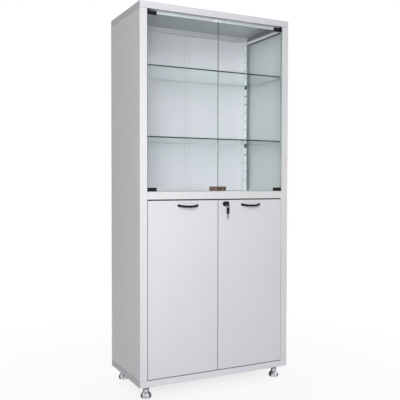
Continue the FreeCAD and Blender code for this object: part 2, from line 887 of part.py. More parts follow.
def glass_lock_body():
    piece = body("glass_lock_body")
    right = "glass_lock_edge + glass_lock_width"
    grow(piece, ("glass_lock_edge", right), ("lock_clip_front", "glass_lock_back"),
         ("lock_clip_bottom", "lock_clip_top"))
    soften(piece, "clip_wall", upright_edges)
    carve(piece, ("glass_lock_edge - overrun", right + " + overrun"), ("glass_front", "glass_back"),
          ("glass_bottom", "lock_clip_top + overrun"))
    pad_z = "glass_lock_z"
    grow(piece, ("glass_plug_x", "glass_screw_x"), ("glass_pad_front", "lock_clip_front"),
         about(pad_z, "glass_lock_pad"))
    for x in ("glass_plug_x", "glass_screw_x"):
        stud(piece, "y", (x, pad_z), ("glass_pad_front", "lock_clip_front"), "glass_lock_pad")
    drill(piece, "y", ("glass_plug_x", pad_z), ("glass_pad_front - overrun", "glass_lock_back + overrun"),
          "glass_lock_plug_radius + running_gap")
    drill(piece, "y", ("glass_screw_x", pad_z), ("glass_pad_front - overrun", "glass_lock_back - free_gap"),
          "clamp_screw_radius")


def glass_lock_plug():
    piece = body("glass_lock_plug")
    stud(piece, "y", ("glass_plug_x", "glass_lock_z"), ("glass_plug_front", "glass_cam_front"),
         "glass_lock_plug_radius")
    carve(piece, about("glass_plug_x", "key_thick / 2"),
          ("glass_plug_front - overrun", "glass_plug_front + keyway_depth"),
          about("glass_lock_z", "glass_lock_plug_radius * %g" % KEYWAY_SHARE))


def glass_lock_cam():
    piece = body("glass_lock_cam")
    depth = ("glass_cam_front", "glass_cam_back")
    half = "glass_lock_cam_width / 2"
    grow(piece, ("glass_plug_x", "glass_plug_x + glass_lock_cam_length"), depth, about("glass_lock_z", half))
    stud(piece, "y", ("glass_plug_x", "glass_lock_z"), depth, half)


def glass_lock_screw():
    spot = ("glass_screw_x", "glass_lock_z")
    head = rod("y", spot, ("glass_pad_front - glass_lock_plug_proud", "glass_pad_front"),
               "glass_lock_screw_radius")
    shank = rod("y", spot, ("glass_pad_front", "glass_lock_back - free_gap"), "clamp_screw_radius")
    slot = block(about("glass_screw_x", "key_thick / 2"),
                 ("glass_pad_front - overrun", "glass_pad_front - glass_lock_plug_proud / 2"),
                 about("glass_lock_z", "glass_lock_screw_radius * %g" % SCREW_SLOT_SHARE))
    node(cut(join(head, shank), slot), "glass_lock_screw")


def glass_strike():
    piece = body("glass_strike")
    left = "strike_edge + strike_width"
    span = ("-(%s)" % left, "-strike_edge")
    grow(piece, span, ("lock_clip_front", "glass_back + strike_rear"), ("lock_clip_bottom", "lock_clip_top"))
    soften(piece, "clip_wall", upright_edges)
    carve(piece, (span[0] + " - overrun", "overrun"), ("glass_front", "glass_back"),
          ("glass_bottom", "lock_clip_top + overrun"))


# Steel doors

LOCK_SPOT = ("lock_offset", "lock_z")


def steel_door(name, side):
    piece = body(name + "_steel_door")
    wide = across(side, "meeting", "door_outer")
    grow(piece, wide, ("front", "door_back"), ("door_bottom", "door_top"))
    soften(piece, "bend_radius", front_faced_edges)
    carve(piece, across(side, "meeting + sheet", "door_outer - sheet"), ("door_skin", "door_back - sheet"),
          ("door_bottom + sheet", "door_top - sheet"))
    carve(piece, across(side, "meeting + door_lip", "door_outer - door_lip"),
          ("door_back - 2 * sheet", "door_back + overrun"), ("door_bottom + door_lip", "door_top - door_lip"))
    spot = (on_side(side, "door_pivot_x"), "pivot_y")
    for level in ("door_bottom", "door_top"):
        drill(piece, "z", spot, (level + " - overrun", level + " + overrun"),
              "door_pin_radius + door_pin_clear")
    for x in handle_ends(name, side):
        drill(piece, "y", (x, "handle_z"), ("front - overrun", "front + overrun"), "handle_screw_radius")
    if side == RIGHT:
        drill(piece, "y", LOCK_SPOT, ("front - overrun", "front + overrun"), "lock_barrel_radius")


def handle_middle(name, side):
    return on_side(side, name + "_handle_offset")


def handle_ends(name, side):
    return about(handle_middle(name, side), "handle_pitch / 2")


def door_stiffener(name, side):
    middle = on_side(side, "door_middle")
    height = ("door_bottom + stiffener_rise", "door_top - stiffener_drop")
    back_face = "door_skin + stiffener_depth"
    piece = body(name + "_door_stiffener")
    inner = "stiffener_width / 2 - stiffener_flange"
    grow(piece, about(middle, inner), (back_face + " - sheet", back_face), height)
    for way in SIDES.values():
        for reach, face in ((inner, back_face), ("stiffener_width / 2", "door_skin + sheet")):
            span = across(way, inner + " - sheet", reach)
            grow(piece, tuple("%s + (%s)" % (middle, edge) for edge in span), ("door_skin", face), height)


def pivot_blocks(name, side):
    x = across(side, "door_outer - sheet - pivot_block_width", "door_outer - sheet")
    y = ("door_skin", "door_skin + pivot_block_depth")
    spot = (on_side(side, "door_pivot_x"), "pivot_y")
    top = join(block(x, y, ("door_top - sheet - pivot_block_height", "door_top - sheet")),
               rod("z", spot, ("door_top - sheet", "rail_bottom + pin_proud"), "door_pin_radius"))
    low = join(block(x, y, ("door_bottom + sheet", "door_bottom + sheet + pivot_block_height")),
               rod("z", spot, ("base_seam - pin_proud", "door_bottom + sheet"), "door_pin_radius"))
    group(name + "_pivot_blocks", [top, low])


def handle(name, side):
    middle = handle_middle(name, side)
    hoop = doc.addObject("Part::Torus", "hoop")
    bind(hoop, Radius1="handle_radius", Radius2="handle_bar")
    turn(hoop, ACROSS, "handle_tilt")
    seat(hoop, middle, "front + handle_sink * cos(handle_tilt)",
         "handle_z + handle_sink * sin(handle_tilt)")
    cover = block(about(middle, "handle_radius + handle_bar + overrun"),
                  ("front", "front + 2 * handle_radius + overrun"), about("handle_z", "handle_radius"))
    feet = [rod("y", (x, "handle_z"), ("front - handle_foot_height", "front"), "handle_foot_radius")
            for x in handle_ends(name, side)]
    bore = ("front - handle_screw_seat", "front + overrun")
    holes = [rod("y", (x, "handle_z"), bore, "handle_screw_radius") for x in handle_ends(name, side)]
    node(cut(join(cut(hoop, cover), *feet), join(*holes)), name + "_handle")


def handle_screws(name, side):
    screws = []
    for x in handle_ends(name, side):
        shank = rod("y", (x, "handle_z"), ("front - handle_screw_seat", "door_skin"), "handle_screw_radius")
        head = rod("y", (x, "handle_z"), ("door_skin", "door_skin + handle_screw_head_height"),
                   "handle_screw_head")
        screws.append(join(shank, head))
    group(name + "_handle_screws", screws)


# Steel door lock and keys

def lock_barrel():
    piece = body("lock_barrel")
    stud(piece, "y", LOCK_SPOT, ("rim_face", "front"), "lock_rim_radius")
    soften(piece, "lock_rim_round", lambda edge, whole: same(edge.YMax, whole.YMin))
    stud(piece, "y", LOCK_SPOT, ("front", "barrel_back"), "lock_barrel_radius")
    drill(piece, "y", LOCK_SPOT, ("rim_face - overrun", "barrel_back + overrun"),
          "lock_plug_radius + running_gap")


def lock_nut():
    hexagon = doc.addObject("Part::Prism", "hexagon")
    hexagon.Polygon = HEX_SIDES
    hexagon.Placement = FreeCAD.Placement(FreeCAD.Vector(), TURNS["y"])
    bind(hexagon, Circumradius="lock_nut_radius", Height="lock_nut_height")
    seat(hexagon, LOCK_SPOT[0], "door_skin", LOCK_SPOT[1])
    bore = rod("y", LOCK_SPOT, ("front", "barrel_back + overrun"), "lock_barrel_radius")
    node(cut(hexagon, bore), "lock_nut")


def lock_plug():
    piece = body("lock_plug")
    stud(piece, "y", LOCK_SPOT, ("rim_face - lock_plug_proud", "plug_back"), "lock_plug_radius")
    carve(piece, about("lock_offset", "key_thick / 2 + key_play"),
          ("rim_face - overrun", "rim_face + key_depth + key_play"),
          about("lock_z", "key_width / 2 + key_play"))


def lock_cam():
    piece = body("lock_cam")
    depth = ("plug_back", "cam_back")
    half = "lock_cam_width / 2"
    grow(piece, ("lock_offset", "lock_offset + lock_cam_length"), depth, about("lock_z", half))
    stud(piece, "y", LOCK_SPOT, depth, half)


def key_eye(piece, z):
    drill(piece, "x", ("eye_y", z), ("lock_offset - overrun", "lock_offset + overrun"), "key_eye_radius")


def keys():
    thick = about("lock_offset", "key_thick / 2")
    head_thick = about("lock_offset", "key_head_thick / 2")
    blade = body("key_blade")
    grow(blade, thick, ("key_shoulder", "rim_face + key_depth"), about("lock_z", "key_width / 2"))
    head = body("key_head")
    grow(head, head_thick, ("key_tip", "key_shoulder"), about("lock_z", "key_head_height / 2"))
    soften(head, "key_head_round", side_edges)
    key_eye(head, "lock_z")
    spare = body("spare_key_head")
    grow(spare, head_thick, about("eye_y", "spare_head_width / 2"), ("spare_bottom", "spare_top"))
    soften(spare, "key_head_round - free_gap", side_edges)
    key_eye(spare, "spare_eye_z")
    tail = body("spare_key_blade")
    grow(tail, thick, about("eye_y", "key_width / 2"), ("spare_bottom - spare_blade_length", "spare_bottom"))
    ring = doc.addObject("Part::Torus", "key_ring")
    ring.Placement = FreeCAD.Placement(FreeCAD.Vector(), TURNS["y"])
    bind(ring, Radius1="ring_radius", Radius2="ring_wire")
    seat(ring, "lock_offset", "eye_y", "ring_z")
    node(ring, "key_ring")


# Assembly

roof()
base()
back_panels()
middle_deck()
roof_rails()
panel_bolts()
glass_shelf("upper_glass_shelf", UPPER_GLASS_SHARE)
glass_shelf("lower_glass_shelf", LOWER_GLASS_SHARE)
steel_shelf()
shelf_clips("upper_shelf_clips", "upper", UPPER_GLASS_SHARE)
shelf_clips("lower_shelf_clips", "upper", LOWER_GLASS_SHARE)
shelf_clips("steel_shelf_clips", "lower", STEEL_SHELF_SHARE)
foot_sleeves()
pivot_bushes()
glass_door_catch()
glass_lock_body()
glass_lock_plug()
glass_lock_cam()
glass_lock_screw()
glass_strike()
for side_name, side_way in SIDES.items():
    side_panel(side_name, side_way)
    foot("front_%s_foot" % side_name, side_way, "foot_front")
    foot("rear_%s_foot" % side_name, side_way, "foot_rear")
    glass_pane(side_name, side_way)
    glass_hinge(side_name, side_way, "top")
    glass_hinge(side_name, side_way, "bottom")
    glass_pins(side_name, side_way)
    glass_screws(side_name, side_way)
    steel_door(side_name, side_way)
    door_stiffener(side_name, side_way)
    pivot_blocks(side_name, side_way)
    handle(side_name, side_way)
    handle_screws(side_name, side_way)
lock_barrel()
lock_nut()
lock_plug()
lock_cam()
keys()

doc.recompute()
faults = [thing.Label for thing in doc.Objects if "Invalid" in thing.State or "Error" in thing.State]
faults += [thing.Label for thing in NODES if thing.Shape.isNull() or not thing.Shape.isValid()]
if faults:
    raise RuntimeError("these objects did not build: " + ", ".join(faults))

os.makedirs("parts", exist_ok=True)
for thing in NODES:
    thing.Shape.exportStep("parts/%s.step" % thing.Label)
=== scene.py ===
import json
import math

import bmesh
import bpy
from mathutils import Euler, Matrix, Vector


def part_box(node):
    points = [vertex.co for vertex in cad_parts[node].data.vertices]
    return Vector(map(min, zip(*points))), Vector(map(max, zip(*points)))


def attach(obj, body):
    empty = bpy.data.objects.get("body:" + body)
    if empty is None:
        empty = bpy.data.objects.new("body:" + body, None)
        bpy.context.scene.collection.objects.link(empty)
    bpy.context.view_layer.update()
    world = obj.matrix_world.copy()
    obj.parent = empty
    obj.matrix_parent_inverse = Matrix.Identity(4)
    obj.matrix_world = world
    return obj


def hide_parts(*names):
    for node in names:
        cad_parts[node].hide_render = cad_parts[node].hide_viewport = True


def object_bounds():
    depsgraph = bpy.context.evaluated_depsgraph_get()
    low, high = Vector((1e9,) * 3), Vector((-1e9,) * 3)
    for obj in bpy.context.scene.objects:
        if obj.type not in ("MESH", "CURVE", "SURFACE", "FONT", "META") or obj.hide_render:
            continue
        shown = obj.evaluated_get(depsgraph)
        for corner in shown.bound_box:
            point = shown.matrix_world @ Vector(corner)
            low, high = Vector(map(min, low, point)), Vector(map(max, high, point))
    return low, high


# Dressed medical cabinet: powder-coated case, glazed doors, chromed feet.

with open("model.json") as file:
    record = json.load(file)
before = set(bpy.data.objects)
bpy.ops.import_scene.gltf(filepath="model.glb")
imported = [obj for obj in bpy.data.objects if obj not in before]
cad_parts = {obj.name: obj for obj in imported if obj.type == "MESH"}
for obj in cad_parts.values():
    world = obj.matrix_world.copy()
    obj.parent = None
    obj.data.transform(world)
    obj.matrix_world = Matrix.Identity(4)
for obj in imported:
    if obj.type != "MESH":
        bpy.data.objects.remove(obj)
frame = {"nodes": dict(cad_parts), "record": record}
CAD_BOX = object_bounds()
NODES = frame["nodes"]
RECORD = frame["record"]
BODY_OF = {node: body for body, nodes in RECORD["behaviour"]["bodies"].items() for node in nodes}
SLOT_OF = {part["node"]: part["material_slot"] for part in RECORD["subparts"]}
MM = 0.001


# Measures of the case, in metres

def box_of(node):
    low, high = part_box(node)
    return Vector(low), Vector(high)


def middle_of(node):
    low, high = box_of(node)
    return (low + high) / 2.0


def about(middle, half):
    return (middle - half, middle + half)


def on_back(across):
    return (across, CASE_HIGH.y, CASE_CENTRE.z)


SHEET = 1.0 * MM
SHEET_HALF = SHEET / 2.0
PAST_SHEET = SHEET + SHEET_HALF
CASE_LOW = Vector(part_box("base")[0])
CASE_HIGH = Vector(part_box("roof")[1])
CASE_CENTRE = (CASE_LOW + CASE_HIGH) / 2.0
MIDDLE_HEIGHT = (CAD_BOX[0][2] + CAD_BOX[1][2]) / 2.0
SIDE_LOW, SIDE_HIGH = box_of("right_side_panel")
DOOR_LOW, DOOR_HIGH = box_of("right_steel_door")
STRIP_LOW, STRIP_HIGH = box_of("back_seam_strip")
FOOT_LOW, FOOT_HIGH = box_of("front_right_foot")
RAIL_LOW = box_of("roof_rails")[0]
DECK_TOP = box_of("middle_deck")[1].z
BACK_JOINT = box_of("back_panel_left")[1].x
FAR = 1.0
ACROSS_WIDTH = (1.0, 0.0, 0.0)
ACROSS_DEPTH = (0.0, 1.0, 0.0)
ACROSS_HEIGHT = (0.0, 0.0, 1.0)

# The glazed space, short of the outer skin of the case.
SKIN = Vector((SHEET_HALF, SHEET_HALF, SHEET_HALF))
GLAZED_LOW = Vector((CASE_LOW.x, CASE_LOW.y, DECK_TOP)) + SKIN
GLAZED_HIGH = CASE_HIGH - SKIN
GLAZED_CENTRE = (GLAZED_LOW + GLAZED_HIGH) / 2.0
GLAZED_ROOM = (GLAZED_HIGH - GLAZED_LOW) / 2.0

# The joints of the roof, the base and the back panels: middle, reach each way, depth.
SEAM_SHADE = (0.30, 0.29, 0.32, 1.0)
SEAM_DEPTH = 0.6
JOINT_HALF = 0.9 * MM
LEVEL_JOINT = (FAR, FAR, JOINT_HALF)
SEAMS = (
    ((0.0, 0.0, SIDE_LOW.z), LEVEL_JOINT, SEAM_DEPTH),
    ((0.0, 0.0, SIDE_HIGH.z), LEVEL_JOINT, SEAM_DEPTH),
    (on_back(BACK_JOINT), (JOINT_HALF, SHEET_HALF, FAR), SEAM_DEPTH),
)

# Inside, the left back panel is a touch dimmer, and painted shade runs along the two edges of the
# strip over the joint.
LEFT_PANEL_HALF = (STRIP_HIGH.x - CASE_LOW.x) / 2.0
LEFT_PANEL_DEPTH = 0.09
STRIP_SHADE_REACH = (1.8 * MM, FAR, FAR)
STRIP_SHADE_DEPTH = 0.16
BACK_LINES = (
    (on_back(STRIP_HIGH.x - LEFT_PANEL_HALF), (LEFT_PANEL_HALF, FAR, FAR), LEFT_PANEL_DEPTH),
    (on_back(STRIP_LOW.x), STRIP_SHADE_REACH, STRIP_SHADE_DEPTH),
    (on_back(STRIP_HIGH.x), STRIP_SHADE_REACH, STRIP_SHADE_DEPTH),
)

# Gaps and hollows where little light falls, given for the right half: spans in x, y and z, shade.
POST_WIDTH = 18.0 * MM
POST_INNER = SIDE_LOW.x
POST_OUTER = POST_INNER + POST_WIDTH
POST_MIDDLE = (POST_INNER + POST_OUTER) / 2.0
POST_FACE = box_of("upper_shelf_clips")[1].y - SHEET
SLIT_INNER = POST_OUTER - 2.0 * SHEET
RAIL_WIDTH = 18.0 * MM
RAIL_EDGE = CASE_HIGH.x - RAIL_WIDTH
WALL_OUT = SIDE_HIGH.x - SHEET_HALF
BACK_OUT = CASE_HIGH.y - SHEET_HALF
SIDE_SPAN = (SIDE_LOW.z, SIDE_HIGH.z)
GAP_REACH = 30.0 * MM
GAP_OVER_DOORS = 5.3 * MM
GAP_ON_FLOOR = 8.0 * MM
DOORS_SPAN = (-FAR, POST_INNER)
FRONT_SPAN = (CASE_LOW.y + SHEET, CASE_LOW.y + GAP_REACH)
OVER_DOORS = (DOOR_HIGH.z - GAP_REACH, DOOR_HIGH.z + GAP_OVER_DOORS)
UNDER_DOORS = (SIDE_LOW.z - SHEET_HALF, DOOR_LOW.z + GAP_ON_FLOOR)
UNDER_RAIL = (RAIL_LOW.z - PAST_SHEET, RAIL_LOW.z + SHEET_HALF)
ROOF_CORNER_DEPTH = (CASE_LOW.y + 2.0 * SHEET, BACK_OUT - PAST_SHEET)
ROOF_CORNER_HEIGHT = (SIDE_HIGH.z + PAST_SHEET, CASE_HIGH.z - PAST_SHEET)
DEEP_SHADE = (0.02, 0.021, 0.023, 1.0)
GAP_SHADE = (0.07, 0.07, 0.075, 1.0)
SLIT_SHADE = (0.335, 0.39, 0.41, 1.0)
ROOF_CORNER_SHADE = (0.17, 0.19, 0.195, 1.0)
POST_HOLLOW_SHADE = (0.30, 0.30, 0.32, 1.0)
# The posts inside the glass take lighter tones than the side walls, painted light by the way their
# faces look.
POST_TONE = (0.725, 0.735, 0.75, 1.0)
POST_SIDE_TONE = (0.76, 0.765, 0.765, 1.0)
HOLLOWS = [
    ((POST_INNER + SHEET_HALF, POST_OUTER), (POST_FACE + PAST_SHEET, BACK_OUT), SIDE_SPAN,
     POST_HOLLOW_SHADE),
    ((SLIT_INNER, WALL_OUT), (POST_FACE - SHEET_HALF, BACK_OUT), SIDE_SPAN, SLIT_SHADE),
    # The posts' inner sides: a lighter tone, painted light.
    (about(POST_INNER, SHEET_HALF), (POST_FACE, BACK_OUT), SIDE_SPAN, POST_SIDE_TONE),
    (DOORS_SPAN, FRONT_SPAN, OVER_DOORS, GAP_SHADE),
    (DOORS_SPAN, FRONT_SPAN, UNDER_DOORS, GAP_SHADE),
    ((RAIL_EDGE - SHEET_HALF, WALL_OUT), (RAIL_LOW.y - SHEET_HALF, BACK_OUT), UNDER_RAIL,
     GAP_SHADE),
    ((WALL_OUT - PAST_SHEET, WALL_OUT), ROOF_CORNER_DEPTH, ROOF_CORNER_HEIGHT, ROOF_CORNER_SHADE),
]

# The slots just below each glass shelf get the deepest painted shade, in the hollow behind them
# and on a rim round each.
SLOT_DROP = 4.0 * MM
SLOT_PITCH = 46.5 * MM
SLOT_HALF_WIDTH = 7.0 * MM
SLOT_HALF_HEIGHT = 3.5 * MM
SLOTS_SHOWN = {"upper_glass_shelf": 2, "lower_glass_shelf": 1}
for slotted_shelf, slot_count in SLOTS_SHOWN.items():
    for slot_step in range(slot_count):
        slot_level = box_of(slotted_shelf)[0].z - SLOT_DROP - SLOT_PITCH * (slot_step + 1)
        HOLLOWS.append((about(POST_MIDDLE, SLOT_HALF_WIDTH), (POST_FACE - SHEET_HALF, BACK_OUT),
                        about(slot_level, SLOT_HALF_HEIGHT), DEEP_SHADE))

# Spots touched often, and how far the smudges reach.
HANDLE_REACH = 120.0 * MM
LOCK_REACH = 80.0 * MM
TOUCHED = (
    (middle_of("left_handle"), HANDLE_REACH),
    (middle_of("right_handle"), HANDLE_REACH),
    (middle_of("lock_barrel"), LOCK_REACH),
)


# Node helpers

UNIT = (0.0, 1.0)
FALLING = (1.0, 0.0)

# Sockets of the mix node where it mixes colours.
MIX_FACTOR, MIX_FIRST, MIX_SECOND = 0, 6, 7
MIX_RESULT = 2


def place(tree, kind, settings=None, inputs=None):
    made = tree.nodes.new(kind)
    for name, value in (settings or {}).items():
        setattr(made, name, value)
    for name, value in (inputs or {}).items():
        feed(tree, made.inputs[name], value)
    return made


def feed(tree, socket, value):
    if isinstance(value, bpy.types.NodeSocket):
        tree.links.new(value, socket)
    else:
        socket.default_value = value


def math_node(tree, operation, first, second=None, clamp=False):
    made = place(tree, "ShaderNodeMath", {"operation": operation, "use_clamp": clamp}, {0: first})
    if second is not None:
        feed(tree, made.inputs[1], second)
    return made.outputs[0]


def multiply(tree, first, second, clamp=False):
    return math_node(tree, "MULTIPLY", first, second, clamp)


def vector_node(tree, operation, first, second=None):
    made = place(tree, "ShaderNodeVectorMath", {"operation": operation}, {0: first})
    if second is not None:
        feed(tree, made.inputs[1], second)
    return made.outputs


def parts_of(tree, vector):
    return place(tree, "ShaderNodeSeparateXYZ", None, {"Vector": vector}).outputs


def blend_colour(tree, factor, first, second):
    made = place(tree, "ShaderNodeMix", {"data_type": "RGBA"}, {
        MIX_FACTOR: factor, MIX_FIRST: first, MIX_SECOND: second})
    return made.outputs[MIX_RESULT]


def rescale(tree, value, source, target):
    made = place(tree, "ShaderNodeMapRange", {"clamp": True}, {
        "Value": value, "From Min": source[0], "From Max": source[1],
        "To Min": target[0], "To Max": target[1]})
    return made.outputs["Result"]


def noise(tree, vector, scale, detail=2.0, rough=0.5):
    made = place(tree, "ShaderNodeTexNoise", None, {
        "Vector": vector, "Scale": scale, "Detail": detail, "Roughness": rough})
    return made.outputs["Fac"]


def mix_shaders(tree, output, factor, first, second):
    """The first shader where the factor is 0, the second where it is 1."""
    mix = place(tree, "ShaderNodeMixShader", None, {"Fac": factor, 1: first, 2: second})
    tree.links.new(mix.outputs["Shader"], output.inputs["Surface"])


def effect(name, inputs, outputs):
    """A shader node group, with the sockets that it is given and those of its result."""
    group = bpy.data.node_groups.new(name, "ShaderNodeTree")
    for label, kind, default in inputs:
        socket = group.interface.new_socket(
            label, in_out="INPUT", socket_type="NodeSocket" + kind)
        if default is not None:
            socket.default_value = default
    for label, kind in outputs:
        group.interface.new_socket(label, in_out="OUTPUT", socket_type="NodeSocket" + kind)
    given = group.nodes.new("NodeGroupInput")
    result = group.nodes.new("NodeGroupOutput")
    return group, given.outputs, result.inputs


def use_effect(tree, group, **inputs):
    made = place(tree, "ShaderNodeGroup", {"node_tree": group})
    for name, value in inputs.items():
        feed(tree, made.inputs[name.replace("_", " ").title()], value)
    return made.outputs


# Shared effects

def coat_grain_effect():
    """Fine orange peel and slow drift of tone, as sprayed and baked powder has."""
    group, given, result = effect(
        "coat grain",
        [("Vector", "Vector", None), ("Tone", "Color", (0.8, 0.8, 0.8, 1.0)),
         ("Shade", "Color", (0.7, 0.7, 0.7, 1.0)), ("Gloss", "Float", 0.4),
         ("Peel Scale", "Float", 900.0)],
        [("Color", "Color"), ("Roughness", "Float"), ("Height", "Float")])
    drift = noise(group, given["Vector"], scale=2.6, detail=3.0)
    cloud = rescale(group, drift, (0.32, 0.68), UNIT)
    feed(group, result["Color"], blend_colour(group, cloud, given["Shade"], given["Tone"]))
    smear = noise(group, given["Vector"], scale=19.0, detail=4.0, rough=0.6)
    spread = rescale(group, smear, (0.3, 0.7), (-0.06, 0.07))
    feed(group, result["Roughness"], math_node(group, "ADD", given["Gloss"], spread, clamp=True))
    feed(group, result["Height"], noise(group, given["Vector"], given["Peel Scale"], detail=1.0))
    return group


def settled_dust_effect():
    """Thin dust where faces look up, broken into patches."""
    group, given, result = effect(
        "settled dust",
        [("Vector", "Vector", None), ("Normal", "Vector", None), ("Amount", "Float", 0.3)],
        [("Mask", "Float")])
    upward = rescale(group, parts_of(group, given["Normal"])["Z"], (0.6, 1.0), UNIT)
    specks = noise(group, given["Vector"], scale=24.0, detail=5.0, rough=0.65)
    patches = rescale(group, specks, (0.35, 0.75), (0.2, 1.0))
    mask = multiply(group, upward, patches)
    feed(group, result["Mask"], multiply(group, mask, given["Amount"], clamp=True))
    return group


def hand_marks_effect():
    """Faint smudges that fade away from a spot touched often."""
    group, given, result = effect(
        "hand marks",
        [("Vector", "Vector", None), ("Spot", "Vector", (0.0, 0.0, 0.0)),
         ("Reach", "Float", 0.1)],
        [("Mask", "Float")])
    away = vector_node(group, "DISTANCE", given["Vector"], given["Spot"])["Value"]
    near = rescale(group, math_node(group, "DIVIDE", away, given["Reach"]), (0.15, 1.0), FALLING)
    smears = noise(group, given["Vector"], scale=55.0, detail=6.0, rough=0.7)
    blotch = rescale(group, smears, (0.45, 0.7), UNIT)
    feed(group, result["Mask"], multiply(group, near, blotch))
    return group


def cut_edge_effect():
    """Mask of the faces that look away from an axis: 0 on the faces square to it."""
    group, given, result = effect(
        "cut edge",
        [("Normal", "Vector", None), ("Across", "Vector", ACROSS_DEPTH),
         ("Edge Limit", "Float", 0.5), ("Face Limit", "Float", 0.9)],
        [("Mask", "Float")])
    along = vector_node(group, "DOT_PRODUCT", given["Normal"], given["Across"])["Value"]
    limits = (given["Edge Limit"], given["Face Limit"])
    mask = rescale(group, math_node(group, "ABSOLUTE", along), limits, FALLING)
    feed(group, result["Mask"], mask)
    return group


def inner_faces_effect():
    """Mask of what lies inside a box: 1 within it, 0 on its skin and beyond."""
    group, given, result = effect(
        "inner faces",
        [("Vector", "Vector", None), ("Middle", "Vector", (0.0, 0.0, 0.0)),
         ("Reach", "Vector", (1.0, 1.0, 1.0))],
        [("Mask", "Float")])
    away = vector_node(group, "SUBTRACT", given["Vector"], given["Middle"])["Vector"]
    size = vector_node(group, "ABSOLUTE", away)["Vector"]
    room = parts_of(group, vector_node(group, "SUBTRACT", given["Reach"], size)["Vector"])
    nearest = math_node(group, "MINIMUM", room["X"],
                        math_node(group, "MINIMUM", room["Y"], room["Z"]))
    feed(group, result["Mask"], math_node(group, "GREATER_THAN", nearest, 0.0))
    return group


def turned_lines_effect():
    """Fine lines left by turning or brushing, in roughness and height."""
    group, given, result = effect(
        "turned lines",
        [("Vector", "Vector", None), ("Stretch", "Vector", (60.0, 60.0, 4000.0)),
         ("Gloss", "Float", 0.2)],
        [("Roughness", "Float"), ("Height", "Float")])
    stretched = vector_node(group, "MULTIPLY", given["Vector"], given["Stretch"])["Vector"]
    lines = noise(group, stretched, scale=1.0, detail=3.0, rough=0.6)
    spread = rescale(group, lines, (0.3, 0.7), (-0.05, 0.08))
    feed(group, result["Roughness"], math_node(group, "ADD", given["Gloss"], spread, clamp=True))
    feed(group, result["Height"], lines)
    return group


COAT_GRAIN = coat_grain_effect()
SETTLED_DUST = settled_dust_effect()
HAND_MARKS = hand_marks_effect()
CUT_EDGE = cut_edge_effect()
INNER_FACES = inner_faces_effect()
TURNED_LINES = turned_lines_effect()


# Materials

DUST_TONE = (0.62, 0.61, 0.58, 1.0)
DUST_DULLING = 0.3
SMUDGE_TONE = (0.45, 0.42, 0.39, 1.0)
SMUDGE_DEPTH = 0.05
SMUDGE_SHINE = 0.08
COAT_ROUGHNESS = 0.25
GLASS_IOR = 1.5
# The feet's painted dark reflection on their flanks, and painted shade at the top under the case
# and in the notches.
FOOT_FLANK = (0.94, -0.34, 0.0)
FOOT_UNDER_SHADE = (CASE_LOW.z - 25.0 * MM, CASE_LOW.z - 14.0 * MM)
UNDER_SHADE_DEPTH = (0.0, 0.9)
NOTCH_DEPTH = 0.6 * MM
NOTCH_LOW = 5.0 * MM
NOTCH_HIGH = 14.0 * MM


def start_material(name):
    material = bpy.data.materials.new(name)
    material.use_nodes = True
    tree = material.node_tree
    tree.nodes.clear()
    output = place(tree, "ShaderNodeOutputMaterial")
    shader = place(tree, "ShaderNodeBsdfPrincipled")
    tree.links.new(shader.outputs["BSDF"], output.inputs["Surface"])
    coords = place(tree, "ShaderNodeTexCoord")
    return material, tree, shader, coords, output


def bump(tree, shader, height, strength, distance):
    made = place(tree, "ShaderNodeBump", None, {
        "Strength": strength, "Distance": distance, "Height": height})
    tree.links.new(made.outputs["Normal"], shader.inputs["Normal"])


def dark_lines(tree, where, colour, lines):
    """Joints, dim panels and painted shade along edges, each a box in which the colour goes some
    way to the seam's shade.
    """
    for middle, reach, depth in lines:
        line = use_effect(tree, INNER_FACES, vector=where, middle=middle, reach=reach)
        colour = blend_colour(tree, multiply(tree, line["Mask"], depth), colour, SEAM_SHADE)
    return colour


def painted_inner_shade(tree, where, near, far, axis, span):
    """Tone of the inside behind the glass, painted shade, dimmer near one side."""
    deep = rescale(tree, parts_of(tree, where)[axis], span, UNIT)
    patch = rescale(tree, noise(tree, where, scale=3.1), (0.35, 0.65), (-0.15, 0.15))
    return blend_colour(tree, math_node(tree, "ADD", deep, patch, clamp=True), near, far)


def hollow_shades(tree, where, colour):
    """Painted shade in the narrow gaps and hollows of the case, and painted light on the posts'
    inner sides, alike on both sides.
    """
    parts = parts_of(tree, where)
    folded = place(tree, "ShaderNodeCombineXYZ", None, {
        "X": math_node(tree, "ABSOLUTE", parts["X"]), "Y": parts["Y"], "Z": parts["Z"]})
    for across, deep, upward, shade in HOLLOWS:
        low, high = (Vector(corner) for corner in zip(across, deep, upward))
        hollow = use_effect(tree, INNER_FACES, vector=folded.outputs["Vector"],
                            middle=(low + high) / 2.0, reach=(high - low) / 2.0)
        colour = blend_colour(tree, hollow["Mask"], colour, shade)
    return colour


